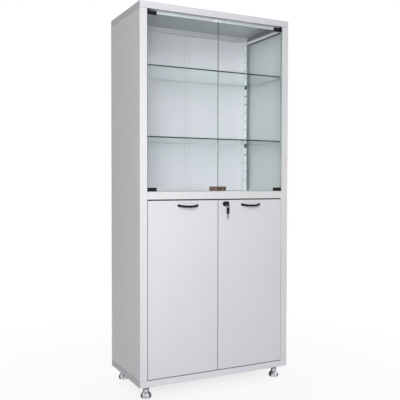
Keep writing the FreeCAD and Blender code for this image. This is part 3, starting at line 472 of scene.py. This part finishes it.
def coated_steel(name, tone, shade, gloss, peel=900.0, dust=0.25, marks=(), along=None,
                 edge_shade=None, inner_shade_tones=None, lip_tone=None, seams=False, back_shading=False,
                 shine=0.5, coat=0.12):
    """Powder coat. Along is an axis and the tone of the faces square to it, painted shade on the
    sides of the roof and base; edge_shade an axis and the tone of all the other faces, painted
    shade on the door edges."""
    material, tree, shader, coords, _ = start_material(name)
    where = coords.outputs["Object"]
    facing = coords.outputs["Normal"]
    grain = use_effect(tree, COAT_GRAIN, vector=where, tone=tone, shade=shade, gloss=gloss,
                       peel_scale=peel)
    film = use_effect(tree, SETTLED_DUST, vector=where, normal=facing, amount=dust)
    colour = blend_colour(tree, film["Mask"], grain["Color"], DUST_TONE)
    # Painted shade on the faces square to the axis.
    if along:
        away = use_effect(tree, CUT_EDGE, normal=facing, across=along[0])
        colour = blend_colour(tree, away["Mask"], along[1], colour)
    # Painted shade on all the other faces.
    if edge_shade:
        away = use_effect(tree, CUT_EDGE, normal=facing, across=edge_shade[0])
        colour = blend_colour(tree, away["Mask"], colour, edge_shade[1])
    if seams:
        colour = dark_lines(tree, where, colour, SEAMS)
    # Inside the glazed space the coat takes the painted shade tones.
    if inner_shade_tones:
        inner = painted_inner_shade(tree, where, *inner_shade_tones)
        # Faces looking to front or back inside take a lighter tone, painted light.
        if lip_tone:
            away = use_effect(tree, CUT_EDGE, normal=facing, across=ACROSS_DEPTH)
            inner = blend_colour(tree, away["Mask"], lip_tone, inner)
        # The dimmer left back panel, and painted shade along the strip's edges.
        if back_shading:
            inner = dark_lines(tree, where, inner, BACK_LINES)
        inside = use_effect(tree, INNER_FACES, vector=where, middle=GLAZED_CENTRE,
                            reach=GLAZED_ROOM)
        colour = blend_colour(tree, inside["Mask"], colour, inner)
        colour = hollow_shades(tree, where, colour)
    dulled = multiply(tree, film["Mask"], DUST_DULLING)
    rough = math_node(tree, "ADD", grain["Roughness"], dulled, clamp=True)
    for spot, reach in marks:
        smudge = use_effect(tree, HAND_MARKS, vector=where, spot=spot, reach=reach)["Mask"]
        colour = blend_colour(tree, multiply(tree, smudge, SMUDGE_DEPTH), colour, SMUDGE_TONE)
        polished = multiply(tree, smudge, SMUDGE_SHINE)
        rough = math_node(tree, "SUBTRACT", rough, polished, clamp=True)
    feed(tree, shader.inputs["Base Color"], colour)
    feed(tree, shader.inputs["Roughness"], rough)
    shader.inputs["Specular IOR Level"].default_value = shine
    shader.inputs["Coat Weight"].default_value = coat
    shader.inputs["Coat Roughness"].default_value = COAT_ROUGHNESS
    bump(tree, shader, grain["Height"], strength=0.12, distance=0.25 * MM)
    return material


def pane_glass(name, face, edge, across, shadow, glint):
    """Clear glass with wipe marks and a deeper colour on its cut edges, pale in its shadow."""
    material, tree, shader, coords, output = start_material(name)
    cut = use_effect(tree, CUT_EDGE, normal=coords.outputs["Normal"], across=across,
                     edge_limit=0.8, face_limit=0.97)
    feed(tree, shader.inputs["Base Color"], blend_colour(tree, cut["Mask"], face, edge))
    wiped = noise(tree, coords.outputs["Object"], scale=6.0, detail=5.0, rough=0.6)
    feed(tree, shader.inputs["Roughness"], rescale(tree, wiped, (0.4, 0.75), (0.0, 0.035)))
    shader.inputs["Transmission Weight"].default_value = 1.0
    shader.inputs["Specular Tint"].default_value = glint
    shader.inputs["IOR"].default_value = GLASS_IOR
    path = place(tree, "ShaderNodeLightPath")
    clear = place(tree, "ShaderNodeBsdfTransparent", None, {"Color": shadow})
    mix_shaders(tree, output, path.outputs["Is Shadow Ray"], shader.outputs["BSDF"],
                clear.outputs["BSDF"])
    return material


def foot_notches(tree, parts):
    """Mask of the notches cut round the foot's rim, which take painted shade, by their distance
    from the foot's middle.
    """
    reach = (FOOT_HIGH.x - FOOT_LOW.x) / 2.0 - NOTCH_DEPTH
    aside = math_node(tree, "SUBTRACT", math_node(tree, "ABSOLUTE", parts["X"]),
                      (FOOT_LOW.x + FOOT_HIGH.x) / 2.0)
    from_centre = math_node(tree, "SUBTRACT", parts["Y"], CASE_CENTRE.y)
    ahead = math_node(tree, "SUBTRACT", math_node(tree, "ABSOLUTE", from_centre),
                      CASE_CENTRE.y - (FOOT_LOW.y + FOOT_HIGH.y) / 2.0)
    squares = math_node(tree, "ADD", multiply(tree, aside, aside), multiply(tree, ahead, ahead))
    cut = math_node(tree, "LESS_THAN", math_node(tree, "SQRT", squares), reach)
    rim = multiply(tree, math_node(tree, "GREATER_THAN", parts["Z"], NOTCH_LOW),
                   math_node(tree, "LESS_THAN", parts["Z"], NOTCH_HIGH))
    return multiply(tree, cut, rim)


def bare_metal(name, tone, shade, gloss, stretch, edge_tint=(1.0, 1.0, 1.0, 1.0), dark_reflection_shade=None):
    """Turned or brushed metal. On the feet, a dark reflection is painted on the flanks and shade
    at the top under the case and in the notches.
    """
    material, tree, shader, coords, _ = start_material(name)
    where = coords.outputs["Object"]
    lines = use_effect(tree, TURNED_LINES, vector=where, stretch=stretch, gloss=gloss)
    cloud = rescale(tree, noise(tree, where, scale=70.0, detail=4.0), (0.35, 0.65), UNIT)
    colour = blend_colour(tree, cloud, shade, tone)
    # Painted dark reflection on the flanks, painted shade under the case and in the notches.
    if dark_reflection_shade:
        away = use_effect(tree, CUT_EDGE, normal=coords.outputs["Normal"], across=FOOT_FLANK,
                          edge_limit=0.45, face_limit=0.9)
        colour = blend_colour(tree, away["Mask"], dark_reflection_shade, colour)
        parts = parts_of(tree, where)
        under_shade = rescale(tree, parts["Z"], FOOT_UNDER_SHADE, UNDER_SHADE_DEPTH)
        colour = blend_colour(tree, under_shade, colour, dark_reflection_shade)
        colour = blend_colour(tree, foot_notches(tree, parts), colour, dark_reflection_shade)
    feed(tree, shader.inputs["Base Color"], colour)
    feed(tree, shader.inputs["Roughness"], lines["Roughness"])
    shader.inputs["Metallic"].default_value = 1.0
    shader.inputs["Specular Tint"].default_value = edge_tint
    bump(tree, shader, lines["Height"], strength=0.05, distance=0.1 * MM)
    return material


def grained_finish(name, tone, shade, gloss, shine=0.5, grain=1800.0):
    """Moulded plastic or ground glass."""
    material, tree, shader, coords, _ = start_material(name)
    peel = use_effect(tree, COAT_GRAIN, vector=coords.outputs["Object"], tone=tone, shade=shade,
                      gloss=gloss, peel_scale=grain)
    feed(tree, shader.inputs["Base Color"], peel["Color"])
    feed(tree, shader.inputs["Roughness"], peel["Roughness"])
    shader.inputs["Specular IOR Level"].default_value = shine
    bump(tree, shader, peel["Height"], strength=0.2, distance=0.2 * MM)
    return material


# Tones inside the glazed space, a dimmer inner coat that is mostly painted shade: each wall's tone
# set by the way it faces the light, the walls and roof darker near the front, the back darker near
# the left, the rails and the roof's lips lighter, painted light. Each is near tone, far tone, and
# the axis and span between them.
FROM_FRONT = ("Y", (CASE_LOW.y, CASE_LOW.y + 170.0 * MM))
FROM_LEFT = ("X", (CASE_LOW.x + 120.0 * MM, CASE_LOW.x + 380.0 * MM))
SIDE_TONES = ((0.36, 0.39, 0.38, 1.0), (0.55, 0.575, 0.565, 1.0), *FROM_FRONT)
BACK_TONES = ((0.50, 0.50, 0.53, 1.0), (0.66, 0.65, 0.68, 1.0), *FROM_LEFT)
ROOF_TONES = ((0.40, 0.43, 0.43, 1.0), (0.47, 0.495, 0.495, 1.0), *FROM_FRONT)
RAIL_TONES = ((0.76, 0.77, 0.775, 1.0), (0.79, 0.795, 0.80, 1.0), *FROM_FRONT)
ROOF_LIP_TONE = (0.58, 0.575, 0.62, 1.0)

WHITE = {"tone": (0.81, 0.81, 0.825, 1.0), "shade": (0.79, 0.79, 0.81, 1.0), "gloss": 0.42}
# Inside the glass: painted shade on the walls, painted light on the posts' faces.
white_coat = coated_steel(
    "white_coat", **WHITE, inner_shade_tones=SIDE_TONES, lip_tone=POST_TONE, seams=True)
back_coat = coated_steel("back_coat", **WHITE, inner_shade_tones=BACK_TONES, seams=True, back_shading=True)
rail_coat = coated_steel("rail_coat", **WHITE, inner_shade_tones=RAIL_TONES)
# The doors' edges in their gaps carry painted shade.
door_coat = coated_steel(
    "door_coat", tone=(0.79, 0.79, 0.825, 1.0), shade=(0.765, 0.77, 0.81, 1.0), gloss=0.40,
    marks=TOUCHED, edge_shade=(ACROSS_DEPTH, (0.28, 0.28, 0.29, 1.0)))
# The sides of the roof and the base carry painted shade.
roof_coat = coated_steel(
    "roof_coat", tone=(0.785, 0.78, 0.825, 1.0), shade=(0.765, 0.76, 0.805, 1.0), gloss=0.42,
    along=(ACROSS_WIDTH, (0.58, 0.575, 0.60, 1.0)), inner_shade_tones=ROOF_TONES,
    lip_tone=ROOF_LIP_TONE, seams=True)
base_coat = coated_steel(
    "base_coat", tone=(0.835, 0.83, 0.88, 1.0), shade=(0.815, 0.81, 0.86, 1.0), gloss=0.42,
    along=(ACROSS_WIDTH, (0.60, 0.59, 0.62, 1.0)), inner_shade_tones=ROOF_TONES, seams=True)
door_glass = pane_glass(
    "door_glass", face=(0.90, 0.93, 0.93, 1.0), edge=(0.06, 0.24, 0.20, 1.0),
    across=ACROSS_DEPTH, shadow=(0.90, 0.91, 0.92, 1.0), glint=(0.45, 0.47, 0.47, 1.0))
shelf_glass = pane_glass(
    "shelf_glass", face=(0.86, 0.945, 0.92, 1.0), edge=(0.001, 0.012, 0.010, 1.0),
    across=ACROSS_HEIGHT, shadow=(0.88, 0.93, 0.92, 1.0), glint=(0.45, 0.5, 0.5, 1.0))
shelf_edge = grained_finish(
    "shelf_edge", tone=(0.003, 0.012, 0.010, 1.0), shade=(0.001, 0.007, 0.006, 1.0),
    gloss=0.30, shine=0.10, grain=700.0)
black_coat = coated_steel(
    "black_coat", tone=(0.011, 0.011, 0.012, 1.0), shade=(0.007, 0.007, 0.008, 1.0),
    gloss=0.45, peel=1400.0, dust=0.03, shine=0.12, coat=0.0)
black_plastic = grained_finish(
    "black_plastic", tone=(0.016, 0.016, 0.017, 1.0), shade=(0.010, 0.010, 0.011, 1.0),
    gloss=0.45, shine=0.15)
white_plastic = grained_finish(
    "white_plastic", tone=(0.82, 0.82, 0.81, 1.0), shade=(0.76, 0.76, 0.75, 1.0), gloss=0.35)

TURNED_UPRIGHT = (40.0, 40.0, 2500.0)
TURNED_ACROSS = (150.0, 2500.0, 2500.0)
BRUSHED = (900.0, 900.0, 90.0)
# The feet's chrome carries their painted dark reflection and shade.
chrome = bare_metal(
    "chrome", tone=(0.66, 0.66, 0.69, 1.0), shade=(0.58, 0.58, 0.61, 1.0), gloss=0.13,
    stretch=TURNED_UPRIGHT, edge_tint=(0.1, 0.1, 0.11, 1.0), dark_reflection_shade=(0.07, 0.07, 0.08, 1.0))
bright_steel = bare_metal(
    "bright_steel", tone=(0.66, 0.66, 0.67, 1.0), shade=(0.52, 0.52, 0.54, 1.0), gloss=0.28,
    stretch=BRUSHED)
dark_nickel = bare_metal(
    "dark_nickel", tone=(0.20, 0.145, 0.12, 1.0), shade=(0.15, 0.105, 0.088, 1.0), gloss=0.34,
    stretch=TURNED_ACROSS)
key_steel = bare_metal(
    "key_steel", tone=(0.30, 0.28, 0.27, 1.0), shade=(0.22, 0.205, 0.20, 1.0), gloss=0.32,
    stretch=BRUSHED)
# A plain dark tone for the lock plugs and the glass lock's screw.
dark_plug = bare_metal(
    "dark_plug", tone=(0.055, 0.043, 0.038, 1.0), shade=(0.032, 0.026, 0.023, 1.0), gloss=0.4,
    stretch=TURNED_ACROSS)

SLOT_FINISHES = {
    "white_paint": white_coat,
    "door_glass": door_glass,
    "shelf_glass": shelf_glass,
    "black_paint": black_coat,
    "black_plastic": black_plastic,
    "chrome": chrome,
    "bright_steel": bright_steel,
    "dark_nickel": dark_nickel,
    "white_plastic": white_plastic,
}
OWN_FINISHES = {
    "left_steel_door": door_coat,
    "right_steel_door": door_coat,
    "roof": roof_coat,
    "base": base_coat,
    "roof_rails": rail_coat,
    "back_panel_left": back_coat,
    "back_panel_right": back_coat,
    "back_seam_strip": back_coat,
    "lock_plug": dark_plug,
    "glass_lock_plug": dark_plug,
    "glass_lock_screw": dark_plug,
    "key_ring": key_steel,
    "key_blade": key_steel,
    "spare_key_blade": key_steel,
}


def finish_of(node):
    return OWN_FINISHES.get(node) or SLOT_FINISHES[SLOT_OF[node]]


for node_name, node_object in NODES.items():
    for material_slot in node_object.material_slots:
        material_slot.material = finish_of(node_name)


# Copies of the solids with eased edges

JOIN_DISTANCE = 0.002 * MM
FLAT_ANGLE = math.radians(1.0)
SHARP_ANGLE = math.radians(32.0)


def add_piece(name, mesh, body, *nodes):
    piece = bpy.data.objects.new(name, mesh)
    bpy.context.scene.collection.objects.link(piece)
    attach(piece, body)
    if nodes:
        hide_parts(*nodes)
    return piece


def merged_form(mesh):
    """A mesh as an editable form, with its loose triangles joined."""
    form = bmesh.new()
    form.from_mesh(mesh)
    bmesh.ops.remove_doubles(form, verts=form.verts, dist=JOIN_DISTANCE)
    return form


def eased_copy(node, radius):
    """The node's own form, merged, with its hard edges eased and its curves shaded smooth."""
    mesh = NODES[node].data.copy()
    mesh.name = node + "_eased"
    if "custom_normal" in mesh.attributes:
        mesh.attributes.remove(mesh.attributes["custom_normal"])
    form = merged_form(mesh)
    if radius:
        bmesh.ops.dissolve_limit(form, angle_limit=FLAT_ANGLE, verts=form.verts, edges=form.edges)
        hard = [edge for edge in form.edges
                if len(edge.link_faces) == 2 and edge.calc_face_angle(0.0) > SHARP_ANGLE]
        bmesh.ops.bevel(form, geom=hard, offset=radius, segments=2, profile=0.7,
                        affect="EDGES", clamp_overlap=True)
    form.to_mesh(mesh)
    form.free()
    mesh.polygons.foreach_set("use_smooth", [True] * len(mesh.polygons))
    mesh.set_sharp_from_angle(angle=SHARP_ANGLE)
    mesh.materials.clear()
    mesh.materials.append(finish_of(node))
    return add_piece("eased_" + node, mesh, BODY_OF[node], node)


SMOOTH_ONLY = 0.0
FOOT_EASE = 0.8 * MM
KEY_EASE = 0.8 * MM
STRIKE_EASE = 0.4 * MM
HINGE_EASE = 0.5 * MM
EASED = {
    "front_left_foot": FOOT_EASE,
    "front_right_foot": FOOT_EASE,
    "rear_left_foot": FOOT_EASE,
    "rear_right_foot": FOOT_EASE,
    "foot_sleeves": SMOOTH_ONLY,
    "left_handle": SMOOTH_ONLY,
    "right_handle": SMOOTH_ONLY,
    "lock_barrel": SMOOTH_ONLY,
    "lock_plug": SMOOTH_ONLY,
    "key_ring": SMOOTH_ONLY,
    "glass_pivot_bushes": SMOOTH_ONLY,
    "door_pivot_bushes": SMOOTH_ONLY,
    "glass_lock_plug": SMOOTH_ONLY,
    "glass_lock_body": SMOOTH_ONLY,
    "glass_lock_screw": SMOOTH_ONLY,
    "key_head": KEY_EASE,
    "spare_key_head": KEY_EASE,
    "glass_strike": STRIKE_EASE,
    "left_glass_top_hinge": HINGE_EASE,
    "left_glass_bottom_hinge": HINGE_EASE,
    "right_glass_top_hinge": HINGE_EASE,
    "right_glass_bottom_hinge": HINGE_EASE,
}
for eased_node, eased_radius in EASED.items():
    eased_copy(eased_node, eased_radius)


# Glass shelves

LEVEL_LIMIT = 0.5


def ground_shelf(node):
    """The glass shelf with its four cut sides ground dull and dark."""
    mesh = NODES[node].data.copy()
    mesh.name = node + "_ground"
    form = merged_form(mesh)
    form.to_mesh(mesh)
    form.free()
    mesh.materials.clear()
    mesh.materials.append(finish_of(node))
    mesh.materials.append(shelf_edge)
    for face in mesh.polygons:
        face.material_index = 0 if abs(face.normal.z) > LEVEL_LIMIT else 1
    return add_piece("ground_" + node, mesh, BODY_OF[node], node)


for shelf_node in ("upper_glass_shelf", "lower_glass_shelf"):
    ground_shelf(shelf_node)


# Keys' blades, drawn from the head to the tip and back in shares of their length and width

BLADE_TIP = ((0.0, 0.0), (0.92, 0.0), (1.0, 0.3), (1.0, 0.55), (0.94, 0.8))
BLADE_CUTS = ((0.84, 0.20), (0.72, 0.34), (0.60, 0.22), (0.48, 0.38), (0.36, 0.26))
CUT_MOUTH = 0.05
CUT_FLOOR = 0.015


def blade_outline():
    outline = list(BLADE_TIP)
    for share, depth in BLADE_CUTS:
        outline += [(share + CUT_MOUTH, 1.0), (share + CUT_FLOOR, 1.0 - depth),
                    (share - CUT_FLOOR, 1.0 - depth), (share - CUT_MOUTH, 1.0)]
    outline.append((0.0, 1.0))
    return outline


def cut_blade(node, head_node):
    """A key's blade in its own box, with a pointed tip and cuts along one side."""
    low, high = box_of(node)
    size = high - low
    thin, wide, along = sorted(range(3), key=lambda axis: size[axis])
    head = middle_of(head_node)[along]
    head_is_low = abs(low[along] - head) < abs(high[along] - head)
    start, way = (low[along], 1.0) if head_is_low else (high[along], -1.0)
    outline = blade_outline()
    form = bmesh.new()
    rings = []
    for level in (low[thin], high[thin]):
        ring = []
        for share, across in outline:
            spot = Vector((0.0, 0.0, 0.0))
            spot[thin] = level
            spot[wide] = low[wide] + across * size[wide]
            spot[along] = start + way * share * size[along]
            ring.append(form.verts.new(spot))
        rings.append(ring)
        form.faces.new(ring)
    for index in range(len(outline)):
        after = (index + 1) % len(outline)
        form.faces.new((rings[0][index], rings[0][after], rings[1][after], rings[1][index]))
    bmesh.ops.recalc_face_normals(form, faces=form.faces)
    mesh = bpy.data.meshes.new(node + "_cut")
    form.to_mesh(mesh)
    form.free()
    mesh.materials.append(finish_of(node))
    return add_piece("cut_" + node, mesh, BODY_OF[node], node)


cut_blade("key_blade", "key_head")
cut_blade("spare_key_blade", "spare_key_head")


# Screws and rivets

HEAD_SIDES = 24
SHANK_SIDES = 16
CROWN_SHARE = 0.82
DRIVE_SHARE = 0.5
DRIVE_DEPTH_SHARE = 0.55
TOP_LIMIT = 0.95


def islands(node):
    """Corner boxes of the separate solids in one node, in the same order each run."""
    form = merged_form(NODES[node].data)
    waiting = dict.fromkeys(form.verts)
    boxes = []
    while waiting:
        reached = [waiting.popitem()[0]]
        spots = []
        while reached:
            vert = reached.pop()
            spots.append(vert.co.copy())
            for edge in vert.link_edges:
                other = edge.other_vert(vert)
                if other in waiting:
                    del waiting[other]
                    reached.append(other)
        low = Vector(min(spot[axis] for spot in spots) for axis in range(3))
        high = Vector(max(spot[axis] for spot in spots) for axis in range(3))
        boxes.append((low, high))
    form.free()
    return boxes


def screw_tree():
    """A chamfered head with a sunk drive and a plain shank, set at each point along its facing."""
    tree = bpy.data.node_groups.new("screw row", "GeometryNodeTree")
    sockets = {}
    tree.interface.new_socket("Geometry", in_out="INPUT", socket_type="NodeSocketGeometry")
    for label, kind in (("Head Radius", "Float"), ("Head Height", "Float"),
                        ("Shank Radius", "Float"), ("Shank Length", "Float"),
                        ("Finish", "Material")):
        made = tree.interface.new_socket(label, in_out="INPUT", socket_type="NodeSocket" + kind)
        sockets[label] = made.identifier
    tree.interface.new_socket("Geometry", in_out="OUTPUT", socket_type="NodeSocketGeometry")
    given = tree.nodes.new("NodeGroupInput").outputs
    result = tree.nodes.new("NodeGroupOutput")
    head = place(tree, "GeometryNodeMeshCone", None, {
        "Vertices": HEAD_SIDES, "Radius Bottom": given["Head Radius"],
        "Radius Top": multiply(tree, given["Head Radius"], CROWN_SHARE),
        "Depth": given["Head Height"]})
    normal = place(tree, "GeometryNodeInputNormal")
    top = place(tree, "FunctionNodeCompare", {"operation": "GREATER_THAN"}, {
        0: parts_of(tree, normal.outputs["Normal"])["Z"], 1: TOP_LIMIT})
    rim = place(tree, "GeometryNodeExtrudeMesh", None, {
        "Mesh": head.outputs["Mesh"], "Selection": top.outputs["Result"], "Offset Scale": 0.0})
    narrow = place(tree, "GeometryNodeScaleElements", None, {
        "Geometry": rim.outputs["Mesh"], "Selection": rim.outputs["Top"], "Scale": DRIVE_SHARE})
    sunk = place(tree, "GeometryNodeExtrudeMesh", None, {
        "Mesh": narrow.outputs["Geometry"], "Selection": rim.outputs["Top"],
        "Offset Scale": multiply(tree, given["Head Height"], -DRIVE_DEPTH_SHARE)})
    shank = place(tree, "GeometryNodeMeshCylinder", None, {
        "Vertices": SHANK_SIDES, "Radius": given["Shank Radius"], "Depth": given["Shank Length"]})
    drop = place(tree, "ShaderNodeCombineXYZ", None, {
        "Z": multiply(tree, given["Shank Length"], -0.5)})
    lowered = place(tree, "GeometryNodeTransform", None, {
        "Geometry": shank.outputs["Mesh"], "Translation": drop.outputs["Vector"]})
    whole = place(tree, "GeometryNodeJoinGeometry")
    tree.links.new(sunk.outputs["Mesh"], whole.inputs["Geometry"])
    tree.links.new(lowered.outputs["Geometry"], whole.inputs["Geometry"])
    facing = place(tree, "GeometryNodeInputNamedAttribute", {"data_type": "FLOAT_VECTOR"},
                   {"Name": "facing"})
    aim = place(tree, "FunctionNodeAlignRotationToVector", {"axis": "Z"},
                {"Vector": facing.outputs["Attribute"]})
    row = place(tree, "GeometryNodeInstanceOnPoints", None, {
        "Points": given["Geometry"], "Instance": whole.outputs["Geometry"],
        "Rotation": aim.outputs["Rotation"]})
    solid = place(tree, "GeometryNodeRealizeInstances", None, {
        "Geometry": row.outputs["Instances"]})
    dressed = place(tree, "GeometryNodeSetMaterial", None, {
        "Geometry": solid.outputs["Geometry"], "Material": given["Finish"]})
    tree.links.new(dressed.outputs["Geometry"], result.inputs["Geometry"])
    return tree, sockets


SCREW_TREE, SCREW_SOCKETS = screw_tree()


def screw_mesh(name, spots, finish, head_radius, head_height, shank_radius, shank_length):
    """One mesh of screws, each given as the middle of its seat and the way its head faces."""
    points = bpy.data.meshes.new(name + "_points")
    points.from_pydata([spot for spot, _ in spots], [], [])
    facing = points.attributes.new("facing", "FLOAT_VECTOR", "POINT")
    facing.data.foreach_set("vector", [part for _, way in spots for part in way])
    carrier = bpy.data.objects.new(name + "_points", points)
    bpy.context.scene.collection.objects.link(carrier)
    row = carrier.modifiers.new("screws", "NODES")
    row.node_group = SCREW_TREE
    for label, value in (("Head Radius", head_radius), ("Head Height", head_height),
                         ("Shank Radius", shank_radius), ("Shank Length", shank_length),
                         ("Finish", finish)):
        row[SCREW_SOCKETS[label]] = value
    carrier.update_tag()
    seen = carrier.evaluated_get(bpy.context.evaluated_depsgraph_get())
    mesh = bpy.data.meshes.new_from_object(seen)
    mesh.name = name
    bpy.data.objects.remove(carrier)
    bpy.data.meshes.remove(points)
    return mesh


def screws_for(node, axis, way_of, shank_share, head_height):
    """Screws in place of a node's plain ones, which are all alike, with their heads' radius."""
    spots = []
    across = (axis + 1) % 3
    for low, high in islands(node):
        middle = (low + high) / 2.0
        way = way_of(middle)
        facing = Vector((0.0, 0.0, 0.0))
        facing[axis] = way
        seat = middle.copy()
        seat[axis] = (high[axis] if way > 0 else low[axis]) - way * head_height
        spots.append((seat, facing))
        radius = (high[across] - low[across]) / 2.0
        length = high[axis] - low[axis] - head_height
    mesh = screw_mesh(node + "_screws", spots, finish_of(node), radius, head_height,
                      radius * shank_share, length)
    return add_piece("turned_" + node, mesh, BODY_OF[node], node)


def into_case(middle):
    """Heads under the roof face down, those above the base face up."""
    return -1.0 if middle.z > MIDDLE_HEIGHT else 1.0


def to_back(_):
    """Every head faces the back."""
    return 1.0


DEPTH_AXIS = 1
HEIGHT_AXIS = 2
screws_for("panel_bolts", HEIGHT_AXIS, into_case, shank_share=0.6, head_height=3.0 * MM)
for door in ("left", "right"):
    screws_for(door + "_handle_screws", DEPTH_AXIS, to_back, shank_share=0.5,
               head_height=2.5 * MM)
    screws_for(door + "_glass_screws", DEPTH_AXIS, to_back, shank_share=0.98,
               head_height=0.6 * MM)


# Rivets in the roof's rear flange and below its sheet, from the middle of the cabinet.
FLANGE_RIVETS = (-67.0 * MM, 11.0 * MM, 57.0 * MM, 301.0 * MM, 340.0 * MM)
SHEET_RIVETS = ((326.0 * MM, 45.5 * MM), (238.0 * MM, 103.5 * MM))
RIVET_HEAD = 4.0 * MM
RIVET_HEIGHT = 1.6 * MM
RIVET_SHANK = 0.8 * MM
FLANGE_MIDDLE = CASE_HIGH.y - 9.0 * MM
DOWN = Vector((0.0, 0.0, -1.0))
rivet_spots = [(Vector((across, FLANGE_MIDDLE, SIDE_HIGH.z)), DOWN) for across in FLANGE_RIVETS]
rivet_spots += [(Vector((across, deep, CASE_HIGH.z - SHEET)), DOWN)
                for across, deep in SHEET_RIVETS]
rivet_mesh = screw_mesh("roof_rivets", rivet_spots, dark_nickel, RIVET_HEAD, RIVET_HEIGHT,
                        RIVET_HEAD / 2.0, RIVET_SHANK)
add_piece("roof_rivets", rivet_mesh, "carcass")


# Stage, light and camera

WHITE_LIGHT = (1.0, 1.0, 1.0, 1.0)
SKY_LIGHT = (0.97, 0.98, 1.0, 1.0)
SKY_STRENGTH = 0.17
FLOOR_REACH = 9.0
FLOOR_TONE = (0.66, 0.66, 0.67, 1.0)
FLOOR_ROUGHNESS = 0.7
FLOOR_OPEN = ((0.5, 1.6), (0.9, 1.0))
FLOOR_SHADOW = ((-0.14, 0.03), (0.12, 0.0))


def seen_plainly(tree):
    """1 where the camera looks straight, through glass or into a mirror, 0 for scattered light."""
    path = place(tree, "ShaderNodeLightPath").outputs
    through = math_node(tree, "MAXIMUM", path["Is Transmission Ray"], path["Is Glossy Ray"])
    seen = math_node(tree, "MAXIMUM", path["Is Camera Ray"], through)
    unscattered = math_node(tree, "LESS_THAN", path["Diffuse Depth"], 0.5)
    return multiply(tree, seen, unscattered)


def stage_floor():
    """A pale floor, white to the camera, that keeps a soft shadow under the cabinet."""
    mesh = bpy.data.meshes.new("floor")
    reach = FLOOR_REACH
    corners = [(-reach, -reach, 0.0), (reach, -reach, 0.0), (reach, reach, 0.0),
               (-reach, reach, 0.0)]
    mesh.from_pydata(corners, [], [(0, 1, 2, 3)])
    floor = bpy.data.objects.new("floor", mesh)
    bpy.context.scene.collection.objects.link(floor)
    material, tree, shader, coords, output = start_material("pale_floor")
    where = coords.outputs["Object"]
    shader.inputs["Base Color"].default_value = FLOOR_TONE
    shader.inputs["Roughness"].default_value = FLOOR_ROUGHNESS
    glow = place(tree, "ShaderNodeEmission", None, {"Color": WHITE_LIGHT, "Strength": 1.0})
    open_share = rescale(tree, vector_node(tree, "LENGTH", where)["Value"], *FLOOR_OPEN)
    parts = parts_of(tree, where)
    beyond_side = math_node(tree, "SUBTRACT", math_node(tree, "ABSOLUTE", parts["X"]), CASE_HIGH.x)
    from_centre = math_node(tree, "SUBTRACT", parts["Y"], CASE_CENTRE.y)
    beyond_front = math_node(tree, "SUBTRACT", math_node(tree, "ABSOLUTE", from_centre),
                             CASE_HIGH.y - CASE_CENTRE.y)
    beyond = math_node(tree, "MAXIMUM", beyond_side, beyond_front)
    share = math_node(tree, "SUBTRACT", open_share, rescale(tree, beyond, *FLOOR_SHADOW))
    mix_shaders(tree, output, multiply(tree, seen_plainly(tree), share), shader.outputs["BSDF"],
                glow.outputs["Emission"])
    mesh.materials.append(material)


def studio_world():
    """Dim soft light from all round, white where it is seen plainly."""
    world = bpy.data.worlds.new("studio")
    bpy.context.scene.world = world
    world.use_nodes = True
    tree = world.node_tree
    tree.nodes.clear()
    output = place(tree, "ShaderNodeOutputWorld")
    soft = place(tree, "ShaderNodeBackground", None, {
        "Color": SKY_LIGHT, "Strength": SKY_STRENGTH})
    white = place(tree, "ShaderNodeBackground", None, {"Color": WHITE_LIGHT, "Strength": 1.0})
    mix_shaders(tree, output, seen_plainly(tree), soft.outputs["Background"],
                white.outputs["Background"])


# Each soft box: name, place, aim, size and power.
SOFT_BOXES = (
    ("key_box", (-1.08, -2.38, 1.30), (0.0, -0.18, 1.0), (0.9, 0.9), 33.5),
    ("upper_box", (-1.25, -2.6, 2.3), (0.0, -0.18, 0.9), (0.25, 0.25), 19.0),
    ("right_box", (3.2, 0.5, 1.3), (0.4, 0.05, 0.9), (1.6, 1.6), 30.0),
    ("rear_box", (0.9, 3.3, 1.4), (0.1, 0.22, 0.9), (1.3, 1.6), 42.0),
    ("top_box", (0.4, 0.8, 4.2), (0.0, 0.1, 1.8), (1.0, 1.0), 18.0),
)


def soft_box(name, position, aim, size, power):
    light = bpy.data.lights.new(name, "AREA")
    light.shape = "RECTANGLE"
    light.size, light.size_y = size
    light.energy = power
    lamp = bpy.data.objects.new(name, light)
    lamp.location = position
    lamp.rotation_euler = (Vector(aim) - Vector(position)).to_track_quat("-Z", "Y").to_euler()
    lamp.visible_camera = False
    bpy.context.scene.collection.objects.link(lamp)


CAMERA_PLACE = (-1.38122, -2.72769, 0.99726)
CAMERA_PITCH = math.radians(90.0 - 1.657)
CAMERA_TURN = math.radians(-26.736)
CAMERA_ROLL = math.radians(0.1034)
SENSOR_WIDTH = 36.0
LENS_LENGTH = 54.426


def photo_camera():
    data = bpy.data.cameras.new("photo_camera")
    data.sensor_width = SENSOR_WIDTH
    data.lens = LENS_LENGTH
    camera = bpy.data.objects.new("photo_camera", data)
    camera.location = CAMERA_PLACE
    level = Euler((CAMERA_PITCH, 0.0, CAMERA_TURN)).to_matrix()
    camera.rotation_euler = (level @ Matrix.Rotation(CAMERA_ROLL, 3, "Z")).to_euler()
    bpy.context.scene.collection.objects.link(camera)
    bpy.context.scene.camera = camera


stage_floor()
studio_world()
for box in SOFT_BOXES:
    soft_box(*box)
photo_camera()
bpy.context.scene.view_settings.view_transform = "Standard"
